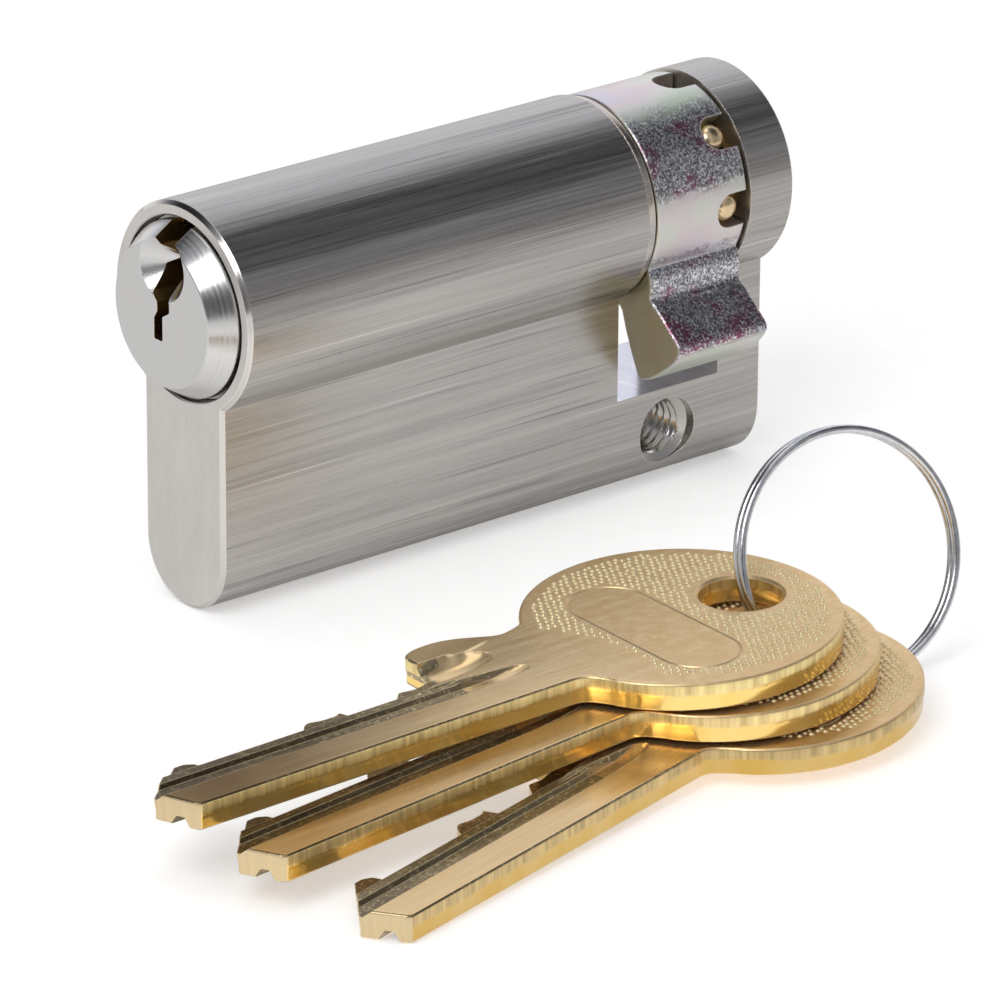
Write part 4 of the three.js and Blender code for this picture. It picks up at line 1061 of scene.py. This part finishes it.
class CYLINDER_OT_pin_stacks(bpy.types.Operator):
    """Makes the five stacks of key pin, driver, spring and stopper"""
    bl_idname = "cylinder.pin_stacks"
    bl_label = "Pin stacks"

    def execute(self, context):
        brass = tuple(tones().brass)
        steel = tuple(tones().steel)
        pin_brass = drawn_wire("pin_brass", shade(brass, 0.8), shade(brass, 1.1), shade(brass, 1.4), 3000.0)
        spring_steel = drawn_wire("coil_steel", shade(steel, 0.75), steel, shade(steel, 1.3), 5000.0)
        edge = CUT_EDGE * [BLADE_LENGTH, BLADE_HEIGHT]
        heights = KEY_BACK_HEIGHT - np.interp(BLADE_LENGTH - FACE_OUT - CHAMBERS, edge[:, 0], edge[:, 1])
        for number, (place, top) in enumerate(zip(CHAMBERS, heights), 1):
            self.key_pin(number, place, top, pin_brass)
            self.driver(number, place, pin_brass)
            self.spring(number, place, spring_steel)
            self.stopper(number, place, pin_brass)
        return {"FINISHED"}

    def key_pin(self, number, place, top, finish):
        """A turned pin with a soft foot and a cone for its tip."""
        profile = softened([
            (0, PIN_FOOT, 0), (PIN_RADIUS, PIN_FOOT, 0.3 * MM), (PIN_RADIUS, top - PIN_TIP_LENGTH, 0.15 * MM),
            (PIN_TIP_RADIUS, top, 0.15 * MM), (0, top, 0)])
        pin = turned(f"pointed_pin_{number}", profile, PIN_SIDES, "Z", (0, place, 0))
        finish_piece(pin, f"key_pin_body_{number}", [f"key_pin_{number}"], [finish])

    def driver(self, number, place, finish):
        """A turned pin, flat at both ends."""
        foot = DRIVER_TOP - DRIVER_LENGTH
        profile = softened([
            (0, foot, 0), (PIN_RADIUS, foot, 0.25 * MM), (PIN_RADIUS, DRIVER_TOP, 0.25 * MM),
            (0, DRIVER_TOP, 0)])
        pin = turned(f"flat_pin_{number}", profile, PIN_SIDES, "Z", (0, place, 0))
        finish_piece(pin, f"driver_pin_body_{number}", [f"driver_pin_{number}"], [finish])

    def spring(self, number, place, finish):
        """A coil: at share s the angle is s times all curls, and the height goes evenly from end to end."""
        low = WEB_BOTTOM + STOPPER_LENGTH + TOUCH_GAP + SPRING_WIRE / 2
        high = DRIVER_TOP - DRIVER_LENGTH - TOUCH_GAP - SPRING_WIRE / 2
        share = np.linspace(0.0, 1.0, SPRING_CURLS * SPRING_STEPS + 1)
        angle = share * SPRING_CURLS * TURN
        path = np.stack([SPRING_RADIUS * np.cos(angle), place + SPRING_RADIUS * np.sin(angle),
                         low + (high - low) * share], axis=1)
        coil = wound_wire(f"coil_{number}", path, SPRING_WIRE, SPRING_SIDES)
        finish_piece(coil, "lock_body", [f"driver_spring_{number}"], [finish])
        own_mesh(coil)

    def stopper(self, number, place, finish):
        """A turned plug in its chamber's mouth, cut to the web's round bottom."""
        high = WEB_BOTTOM + STOPPER_LENGTH
        profile = softened([
            (0, WEB_BOTTOM - OVERRUN, 0), (PIN_RADIUS, WEB_BOTTOM - OVERRUN, 0),
            (PIN_RADIUS, high, 0.15 * MM), (0, high, 0)])
        body = turned(f"stopper_{number}", profile, PIN_SIDES, "Z", (0, place, 0))
        shaped(body, [self.under_web(place)])
        finish_piece(body, "lock_body", [f"chamber_plug_{number}"], [finish])

    def under_web(self, place):
        """The space under the web's round bottom: a block with the half circle taken out of its top."""
        bottom = circle(WEB_HALF, WEB_ARC_STEPS, 200, 340, closed=False) + [0, WEB_BOTTOM + WEB_HALF]
        deep = WEB_BOTTOM - 2 * OVERRUN
        outline = np.concatenate([bottom, [[bottom[-1, 0], deep], [bottom[0, 0], deep]]])
        return along_y("under_web", outline, [(0, place - PIN_RADIUS * 2), (0, place + PIN_RADIUS * 2)])


# Keys

def key_matrix(name):
    """Where a key's own frame (along, across, up) lies in the barrel's frame: turned in its layer of the
    stack, then leant over with the stack."""
    layer, x, y, yaw = KEY_PLACES[name]
    heading = math.radians(STACK_HEADING)
    lean = Matrix.Rotation(math.radians(STACK_TILT), 4, Vector((math.cos(heading), math.sin(heading), 0)))
    lift = layer * (KEY_THICKNESS + TOUCH_GAP)
    place = Matrix.Translation(Vector((x * MM, y * MM, lift)))
    turn = Matrix.Rotation(math.radians(90.0 + yaw), 4, "Z")
    return Matrix.Translation(Vector(STACK_PLACE)) @ lean @ place @ turn


def flat_stack(name, outline, rings):
    """A plate lying flat in the key's frame: ring k is the outline (along, across) moved in by its inset,
    at its height."""
    outline = counter_clockwise(outline)
    grid = np.stack([np.insert(inset(outline, depth), 2, height, axis=1) for depth, height in rings])
    return closed_piece(name, grid, capped=True)


def bow_place(shares):
    """Places in the key's frame from shares of the bow's radius, from its centre."""
    return BOW_CENTRE + np.asarray(shares) * BOW_RADIUS


def key_outline():
    """The key seen from above: back edge, near neck, bow's arc, far neck, stop, and the blunt tip. The
    bow's radius is fuller at the near neck: by the swell times half of one plus the cosine of the way
    through the swell's arc, which counts as half a turn."""
    near = bow_place(NECK_NEAR)
    far = bow_place(NECK_FAR)
    way = np.linspace(0.0, BOW_ARC[1] - BOW_ARC[0], BOW_STEPS).clip(0, BOW_SWELL_ARC) / BOW_SWELL_ARC
    swell = 1 + BOW_SWELL * 0.5 * (1 + np.cos(math.pi * way))
    bow = circle(BOW_RADIUS, BOW_STEPS, *BOW_ARC, closed=False) * swell[:, None] + BOW_CENTRE
    tip = CUT_EDGE[0] * [BLADE_LENGTH, BLADE_HEIGHT]

    def corners(points, reach):
        """The points as corners, each with the same reach in millimetres."""
        return np.insert(points, 2, reach * MM, axis=1)

    neck_near = corners(near, 0.8)
    neck_far = corners(far, 0.8)
    return softened(np.concatenate([
        [[TIP_CORNER, 0, 0.1 * MM]], neck_near, corners(bow, 0.0), neck_far,
        [[far[-1, 0], BLADE_HEIGHT, 0.2 * MM], [tip[0], tip[1], 0.1 * MM],
         [-TIP_REACH, TIP_HEIGHT, 0.25 * MM], [0, TIP_CORNER, 0.1 * MM]]]), 6)


def bitting():
    """The space of the cuts: the table of the cut edge, closed above the blade."""
    edge = CUT_EDGE * [BLADE_LENGTH, BLADE_HEIGHT]
    above = BLADE_HEIGHT + OVERRUN
    corners = np.insert(edge, 2, 0.18 * MM, axis=1)
    corners[[0, -1], 2] = 0
    outline = softened(np.concatenate([corners, [[edge[-1, 0], above, 0], [edge[0, 0], above, 0]]]), 4)
    return flat_stack("bitting", outline, [(0, -OVERRUN), (0, KEY_THICKNESS + OVERRUN)])


def blade_groove(table, tracks, upper):
    """The space that the blade's grooves leave on one face. Every point of the section (across, up) is
    carried along the key. In plan each groove ends in half an ellipse, and before that end its depth
    shrinks as the round cutter rises: by the radius less the square root of radius^2 - distance^2."""
    face = KEY_THICKNESS if upper else 0.0
    sign = 1.0 if upper else -1.0
    rows = table[1:] * [BLADE_HEIGHT, KEY_THICKNESS]
    rows[-1, 0] += OVERRUN
    share = np.linspace(0, 1, 7, endpoint=False)[None, :, None]
    dense = (rows[:-1, None] * (1 - share) + rows[1:, None] * share).reshape(-1, 2)
    dense = np.concatenate([dense, rows[-1:]])
    aside = np.abs(dense[:, :1] / BLADE_HEIGHT - tracks[:, 0]) / tracks[:, 1]
    track = tracks[aside.argmin(axis=1)]
    aside = aside.min(axis=1).clip(0, 1)
    deepest = track[:, 2] * KEY_THICKNESS
    run = np.sqrt(2 * GROOVE_CUTTER_RADIUS * deepest - deepest ** 2)
    end = track[:, 3] * MM - LEAF_LENGTH * (1 - np.sqrt(1 - aside ** 2))
    stretch = GROOVE_STRETCH * np.linspace(1, 0, GROOVE_STEPS) ** 1.3
    along = np.concatenate([[-TIP_REACH - OVERRUN], GROOVE_END - stretch])
    past_start = (along[:, None] - (end - run)[None, :]).clip(0, GROOVE_CUTTER_RADIUS)
    rise = GROOVE_CUTTER_RADIUS - np.sqrt(GROOVE_CUTTER_RADIUS ** 2 - past_start ** 2)
    # Past a groove's end the space lifts clear of the face, so that nothing is cut there
    depth = np.abs(dense[:, 1] - face)[None, :] - rise
    depth = np.where(depth < 0.002 * MM, -0.03 * MM, depth)
    level = face - sign * depth
    past = np.full((len(along), 2), face + sign * OVERRUN)
    level = np.concatenate([level, past], axis=1)
    across = np.concatenate([dense[:, 0], [dense[-1, 0], dense[0, 0]]])
    grid = np.stack([along[:, None] + 0 * level, across[None, :] + 0 * level, level], axis=-1)
    return closed_piece("groove", grid, capped=True)


def oval(margin, steps=28):
    """The bow plate's outline: two half circles joined by straight sides, moved out by a margin."""
    half = PLATE_HALF + margin
    straight = half[1] - half[0]
    upper = circle(half[0], steps, 0, 180, closed=False) + [0, straight]
    lower = circle(half[0], steps, 180, 360, closed=False) - [0, straight]
    return np.concatenate([upper, lower]) + PLATE_CENTRE


def border_groove(height, border):
    """The ring-shaped space round the oval plate: a triangle of a section carried along the oval."""
    inner, middle, outer = oval(-border / 2), oval(0.0), oval(border / 2)
    over = np.sign(height - KEY_THICKNESS / 2) * 0.05 * MM
    deep = np.sign(height - KEY_THICKNESS / 2) * border * 0.55
    rows = [(inner, height + over), (inner, height), (middle, height - deep), (outer, height),
            (outer, height + over)]
    grid = np.stack([np.insert(line, 2, level, axis=1) for line, level in rows], axis=1)
    grid = np.concatenate([grid, grid[:1]])
    return closed_piece("border", grid, capped=False)


def dot_places(pitch):
    """Places of the dots: a staggered grid, each point moved a little at random with a fixed seed, kept
    where it lies in the bow inside its smooth rim, outside the oval plate, the hole's rim and the neck."""
    chance = np.random.default_rng(DOT_SEED)
    rows = np.arange(-BOW_RADIUS, BOW_RADIUS, pitch * DOT_ROW_SHARE)
    columns = np.arange(-BOW_RADIUS, BOW_RADIUS, pitch)
    along, across = np.meshgrid(columns, rows, indexing="xy")
    along = along + (np.arange(len(rows)) % 2)[:, None] * pitch / 2
    place = np.stack([along.ravel(), across.ravel()], axis=1)
    place += chance.uniform(-DOT_JITTER, DOT_JITTER, place.shape) * pitch
    place += BOW_CENTRE
    from_bow = np.linalg.norm(place - BOW_CENTRE, axis=1)
    from_hole = np.linalg.norm(place - KEY_HOLE, axis=1)
    offset = np.abs(place - PLATE_CENTRE)
    straight = PLATE_HALF[1] - PLATE_HALF[0]
    from_plate = np.hypot(offset[:, 0], (offset[:, 1] - straight).clip(0))
    neck = BOW_CENTRE + NECK_CLEAR_PLACE
    from_neck = np.linalg.norm((place - neck) * [1.0, 0.75], axis=1)
    kept = ((from_bow < BOW_RADIUS - BOW_RIM) & (from_hole > KEY_HOLE_RADIUS + HOLE_RIM)
            & (from_plate > PLATE_HALF[0] + PLATE_RIM) & (from_neck > NECK_CLEAR_RADIUS))
    return place[kept]


def dot_field(places, height, radius, face, upper):
    """All dots of one face as arrays: each is three rings, at radius and height shares of a low dome whose
    lowest ring lies just under the face, closed by a top point and a foot point. Gives points and faces."""
    sides = 7
    sign = 1.0 if upper else -1.0
    levels = np.array([[1.0, -0.35], [0.92, 0.35], [0.55, 0.85]])
    ring = circle(1.0, sides)
    rings = np.concatenate([
        np.insert(ring * share * radius, 2, sign * level * height, axis=1) for share, level in levels])
    shape = np.concatenate([rings, [[0, 0, sign * height], [0, 0, -sign * 0.35 * height]]])
    points = shape[None] + np.insert(places, 2, face, axis=1)[:, None]
    here = np.arange(sides)
    ahead = (here + 1) % sides
    band = np.stack([here, ahead, ahead + sides, here + sides], axis=1)
    quads = np.concatenate([band, band + sides])
    top = np.stack([here + 2 * sides, ahead + 2 * sides, np.full(sides, 3 * sides)], axis=1)
    foot = np.stack([ahead, here, np.full(sides, 3 * sides + 1)], axis=1)
    if not upper:
        quads, top, foot = quads[:, ::-1], top[:, ::-1], foot[:, ::-1]
    start = (np.arange(len(places)) * len(shape))[:, None, None]
    faces = [(quads[None] + start).reshape(-1, 4), (np.concatenate([top, foot])[None] + start).reshape(-1, 3)]
    return points.reshape(-1, 3), faces


def with_dots(piece, fields):
    """Adds fields of dots to a piece's mesh and gives the number of faces that it had before them."""
    mesh = piece.data
    before = len(mesh.polygons)
    work = bmesh.new()
    work.from_mesh(mesh)
    for points, faces in fields:
        patch = bpy.data.meshes.new("dots")
        patch.from_pydata((points + ORIGIN).tolist(), [], [face for part in faces for face in part.tolist()])
        work.from_mesh(patch)
        bpy.data.meshes.remove(patch)
    work.to_mesh(mesh)
    work.free()
    return before


class CYLINDER_OT_keys(bpy.types.Operator):
    """Makes the three equal brass keys: milled blade, cut edge, neck, and a bow with dots and a plain oval"""
    bl_idname = "cylinder.keys"
    bl_label = "Keys"

    def execute(self, context):
        size = sizes()
        edge = size.key_edge
        rounded = edge_rings(0.0, KEY_THICKNESS, edge, edge * 0.8, 5)
        walls = [*(rounded[:4] + [WALL_INSET, 0]), *UNDERCUT, *rounded[5:]]
        body = flat_stack("key_blank", key_outline(), walls)
        rim = KEY_HOLE_CHAMFER
        hole = [(0, -OVERRUN), (KEY_HOLE_RADIUS + rim + OVERRUN, -OVERRUN), (KEY_HOLE_RADIUS, rim),
                (KEY_HOLE_RADIUS, KEY_THICKNESS - rim),
                (KEY_HOLE_RADIUS + rim + OVERRUN, KEY_THICKNESS + OVERRUN), (0, KEY_THICKNESS + OVERRUN)]
        cuts = [
            bitting(), turned("hole", hole, KEY_HOLE_SIDES, "Z", (*KEY_HOLE, 0.0)),
            blade_groove(UPPER_FACE, UPPER_TRACKS, True),
            blade_groove(UNDER_FACE, UNDER_TRACKS, False),
            border_groove(KEY_THICKNESS, size.border), border_groove(0.0, size.border)]
        shaped(body, cuts)
        places = dot_places(size.dot_pitch)
        plain = with_dots(body, [
            dot_field(places, size.dot_height, size.dot_radius, KEY_THICKNESS, True),
            dot_field(places, size.dot_height, size.dot_radius, 0.0, False)])
        for name, film, share in zip(KEY_PLACES, KEY_BLADE_SHADES, KEY_WALL_PAINTED_SHADE):
            self.key(name, body.data, plain, self.finishes(name, film, share))
        mesh = body.data
        bpy.data.objects.remove(body)
        bpy.data.meshes.remove(mesh)
        return {"FINISHED"}

    def finishes(self, name, film, share):
        """One key's brass: its faces with a painted dark reflection on the blade, walls, grooves, dots and
        the cut end of its tip; painted shade dims the walls, grooves and end.
        """
        face = tuple(tones().key_brass)
        gold = tuple(np.array(face) * [0.86, 0.76, 0.62])
        # share is painted shade: it dims this key's walls, polished band and tip end to the light that each
        # key gets, and the tip end is painted darker than the faces besides
        wall, shine = shade(tones().key_wall, share), shade(tones().key_band_reflection, share)
        end = shade(face, 0.55 + 0.25 * share)
        # Painted shade in the grooves: their brass is far darker than the faces, and deep darkens them
        # further where the blade's painted reflection is darker
        deep = tuple(0.25 + 0.35 * channel for channel in film)
        return [
            key_metal(f"{name}_face_brass", gold, face, (1.0, 0.9, 0.68), (0.18, 0.3), 0.006 * MM, film=film),
            blanked_wall(f"{name}_wall_brass", shade(wall, 0.66), shade(wall, 1.1), shine, (1.0, 0.9, 0.66)),
            key_metal(f"{name}_groove_brass", shade(face, 0.3), shade(face, 0.55), shade(face, 1.1),
                      (0.2, 0.4), 0.02 * MM, grain=0.03 * MM, film=deep),
            key_metal(f"{name}_dot_brass", shade(face, 0.9), shade(face, 1.1), shade(face, 1.2), (0.1, 0.2),
                      0.003 * MM),
            key_metal(f"{name}_end_brass", shade(end, 0.85), end, shade(face, 1.15), (0.25, 0.35),
                      0.006 * MM),
        ]

    def key(self, name, pattern, plain, materials):
        """One key from the common mesh, whose faces from number plain on are dots: each face's material by
        where it lies and where it looks, then the key moved to its place in the stack. Its maps hold
        (along, across) and (along, up) in the key's own frame."""
        mesh = pattern.copy()
        mesh.name = f"{name}_brass"
        piece = bpy.data.objects.new(f"{name}_cut", mesh)
        bpy.context.scene.collection.objects.link(piece)
        count = len(mesh.vertices)
        flat = np.empty(count * 3)
        mesh.vertices.foreach_get("co", flat)
        local = flat.reshape(-1, 3) - ORIGIN
        middle, normal = face_table(mesh)
        wall, groove, dot, end = 1, 2, 3, 4
        facing = np.abs(normal[:, 2])
        sunk = np.abs(middle[:, 2] - KEY_THICKNESS / 2) < KEY_THICKNESS / 2 - 0.02 * MM
        choice = np.zeros(len(middle), dtype=int)
        choice[facing < 0.6] = wall
        choice[(facing >= 0.6) & sunk & (middle[:, 0] < GROOVE_END - LEAF_LENGTH * 1.3)] = groove
        choice[(facing < 0.6) & (facing > 0.05) & (middle[:, 1] > 2.0 * MM)
               & (middle[:, 0] < GROOVE_END)] = groove
        choice[(normal[:, 0] < -0.6) & (middle[:, 0] < 0.5 * MM)] = end
        choice[plain:] = dot
        corner = np.empty(len(mesh.loops), dtype=np.int32)
        mesh.loops.foreach_get("vertex_index", corner)
        for title, columns in (("key_plane", [0, 1]), ("key_rise", [0, 2])):
            layer = mesh.uv_layers.new(name=title)
            layer.data.foreach_set("uv", local[corner][:, columns].astype(np.float32).ravel())
        matrix = np.array(key_matrix(name))
        moved = local @ matrix[:3, :3].T + matrix[:3, 3] + ORIGIN
        mesh.vertices.foreach_set("co", moved.ravel())
        mesh.update()
        finish_piece(piece, name.replace("key_", "key_body_"), [name], materials, choice)


# Ring

class CYLINDER_OT_ring(bpy.types.Operator):
    """Makes the split ring: nearly two turns of bright wire that lie on each other"""
    bl_idname = "cylinder.ring"
    bl_label = "Split ring"

    def execute(self, context):
        heading, rise = math.radians(RING_HEADING), math.radians(RING_RISE)
        flat_part = math.cos(rise)
        axis = Vector((math.cos(heading) * flat_part, math.sin(heading) * flat_part, math.sin(rise)))
        turn = Vector((0, 0, 1)).rotation_difference(axis).to_matrix() @ Matrix.Rotation(
            math.radians(RING_SPIN), 3, "Z")
        share = np.linspace(0.0, 1.0, int(RING_TURNS * RING_STEPS))
        angle = share * RING_TURNS * TURN
        flat = np.stack([RING_RADIUS * np.cos(angle), RING_RADIUS * np.sin(angle),
                         (share - 0.5) * RING_PITCH * RING_TURNS], axis=1)
        path = flat @ np.array(turn).T + RING_PLACE
        ring = wound_wire("ring_wire", path, RING_WIRE, RING_SIDES)
        steel = tuple(tones().steel)
        finish = drawn_wire("ring_steel_bright", shade(steel, 0.8), shade(steel, 1.15), shade(steel, 1.3),
                            1400.0)
        finish_piece(ring, "ring", ["split_ring"], [finish])
        return {"FINISHED"}


# Stage

class CYLINDER_OT_stage(bpy.types.Operator):
    """Makes the pale floor, the soft light and the camera"""
    bl_idname = "cylinder.stage"
    bl_label = "Floor, light and camera"

    def execute(self, context):
        self.floor(context)
        self.world(context)
        self.lamps(context)
        self.camera(context)
        context.scene.view_settings.view_transform = "Standard"
        return {"FINISHED"}

    def floor(self, context):
        """A flat grid of paper that the camera sees as white, with a glow under the object that only
        polished metal sees."""
        columns = FLOOR_STEPS + 1
        side = np.linspace(-FLOOR_HALF, FLOOR_HALF, columns)
        x, y = np.meshgrid(side, side, indexing="ij")
        points = np.stack([x, y, np.full_like(x, FLOOR_LEVEL)], axis=-1).reshape(-1, 3)
        row = np.arange(FLOOR_STEPS)[:, None] * columns + np.arange(FLOOR_STEPS)[None, :]
        faces = np.stack([row, row + columns, row + columns + 1, row + 1], axis=-1).reshape(-1, 4)
        mesh = bpy.data.meshes.new("floor")
        mesh.from_pydata(points.tolist(), [], faces.tolist())
        floor = bpy.data.objects.new("floor", mesh)
        context.scene.collection.objects.link(floor)
        paper = Finish("floor_paper", metallic=0.0)
        grain = paper.noise(paper.place((400.0,) * 3), 1.0, 3.0)
        paper.feed(paper.shader, "Base Color", paper.ramp(grain, [(0.3, (0.80,) * 3), (0.7, (0.84,) * 3)]))
        paper.shader.inputs["Roughness"].default_value = 0.9
        paper.shader.inputs["Specular IOR Level"].default_value = 0.0
        paper.shader.inputs["Emission Color"].default_value = (1.0, 1.0, 1.0, 1.0)
        seen = paper.put("ShaderNodeLightPath")
        direct = paper.span(seen.outputs["Is Camera Ray"], 0.0, 0.42)
        spot = {0: paper.put("ShaderNodeTexCoord").outputs["Object"], 1: GLOW_PLACE}
        away = paper.put("ShaderNodeVectorMath", spot, operation="DISTANCE").outputs["Value"]
        near = paper.span(away, 0.5, 0.08, GLOW_INNER, GLOW_OUTER)
        mirrored = paper.maths("MULTIPLY", seen.outputs["Is Glossy Ray"], near)
        paper.feed(paper.shader, "Emission Strength", paper.maths("ADD", direct, mirrored))
        mesh.materials.append(paper.material)

    def world(self, context):
        """A room as metal mirrors it: bright on one side, dimmer on the other, multiplied by each of its
        dark stretches and cooler towards the top; the camera sees plain white."""
        world = bpy.data.worlds.new("studio")
        context.scene.world = world
        world.use_nodes = True
        wiring = Wiring(world.node_tree)
        direction = wiring.put("ShaderNodeTexCoord").outputs["Generated"]

        def toward(azimuth, height, low, high, start, end):
            """The cosine of the angle between the ray and a direction in the room, spread softly."""
            a, h = math.radians(azimuth), math.radians(height)
            way = (math.cos(a) * math.cos(h), math.sin(a) * math.cos(h), math.sin(h))
            node = wiring.put("ShaderNodeVectorMath", {0: direction, 1: way}, operation="DOT_PRODUCT")
            return wiring.span(node.outputs["Value"], low, high, start, end, "SMOOTHSTEP")

        room = toward(*ROOM_BRIGHT, *ROOM_LEVELS, -0.1, 0.8)
        for azimuth, height, inner, outer, share in ROOM_SHADES:
            edges = (math.cos(math.radians(outer)), math.cos(math.radians(inner)))
            room = wiring.maths("MULTIPLY", room, toward(azimuth, height, 1.0, share, *edges))
        seen = wiring.put("ShaderNodeLightPath")
        glossy, camera = seen.outputs["Is Glossy Ray"], seen.outputs["Is Camera Ray"]
        plain = wiring.maths("MULTIPLY", wiring.maths("SUBTRACT", 1.0, glossy), ROOM_PLAIN)
        soft = wiring.maths("ADD", wiring.maths("MULTIPLY", glossy, room), plain)
        unseen = wiring.maths("MULTIPLY", wiring.maths("SUBTRACT", 1.0, camera), soft)
        high_up = wiring.maths("MULTIPLY", glossy, toward(0, 90, 0.0, 1.0, -0.1, 0.6))
        background = wiring.tree.nodes["Background"]
        wiring.feed(background, "Color", wiring.blend(high_up, (1.0, 1.0, 1.0), ROOM_COOL))
        wiring.feed(background, "Strength", wiring.maths("ADD", unseen, camera))

    def lamps(self, context):
        """Round soft lamps that look at the origin."""
        for name, place, size, power in LAMPS:
            lamp = bpy.data.lights.new(name, "AREA")
            lamp.shape = "DISK"
            lamp.size = size
            lamp.energy = power
            carrier = bpy.data.objects.new(name, lamp)
            carrier.location = place
            carrier.rotation_euler = (-Vector(place)).to_track_quat("-Z", "Y").to_euler()
            context.scene.collection.objects.link(carrier)

    def camera(self, context):
        """The photograph's camera: its axes are right, up and backwards, each as a column of its turn."""
        camera = bpy.data.cameras.new("camera")
        camera.sensor_width = 36.0
        camera.lens = CAMERA_LENS
        camera.clip_start = 10 * MM
        carrier = bpy.data.objects.new("camera", camera)
        up, backwards = (tuple(-part for part in axis) for axis in (CAMERA_DOWN, CAMERA_FORWARD))
        axes = Matrix((CAMERA_RIGHT, up, backwards)).transposed()
        carrier.matrix_world = Matrix.Translation(Vector(CAMERA_PLACE)) @ axes.to_4x4()
        context.scene.collection.objects.link(carrier)
        context.scene.camera = carrier


class CYLINDER_PT_pieces(bpy.types.Panel):
    """Lists the sizes, the colours and one button for each step"""
    bl_idname = "CYLINDER_PT_pieces"
    bl_label = "Euro cylinder"
    bl_space_type = "VIEW_3D"
    bl_region_type = "UI"
    bl_category = "Cylinder"

    def draw(self, context):
        for group in (context.scene.cylinder_sizes, context.scene.cylinder_finishes):
            box = self.layout.box()
            for name in group.bl_rna.properties.keys():
                if name not in ("rna_type", "name"):
                    box.prop(group, name)
        for operator in STEPS:
            self.layout.operator(operator.bl_idname)


STEPS = (CYLINDER_OT_stage, CYLINDER_OT_housing, CYLINDER_OT_plug, CYLINDER_OT_drive, CYLINDER_OT_pin_stacks,
         CYLINDER_OT_keys, CYLINDER_OT_ring)
CLASSES = (CylinderSizes, CylinderFinishes, *STEPS, CYLINDER_PT_pieces)


def register():
    for cls in CLASSES:
        bpy.utils.register_class(cls)
    bpy.types.Scene.cylinder_sizes = bpy.props.PointerProperty(type=CylinderSizes)
    bpy.types.Scene.cylinder_finishes = bpy.props.PointerProperty(type=CylinderFinishes)


def unregister():
    del bpy.types.Scene.cylinder_sizes
    del bpy.types.Scene.cylinder_finishes
    for cls in reversed(CLASSES):
        bpy.utils.unregister_class(cls)


def main():
    """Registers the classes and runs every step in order."""
    register()
    for operator in STEPS:
        family, step = operator.bl_idname.split(".")
        getattr(getattr(bpy.ops, family), step)()


if __name__ == "__main__":
    main()
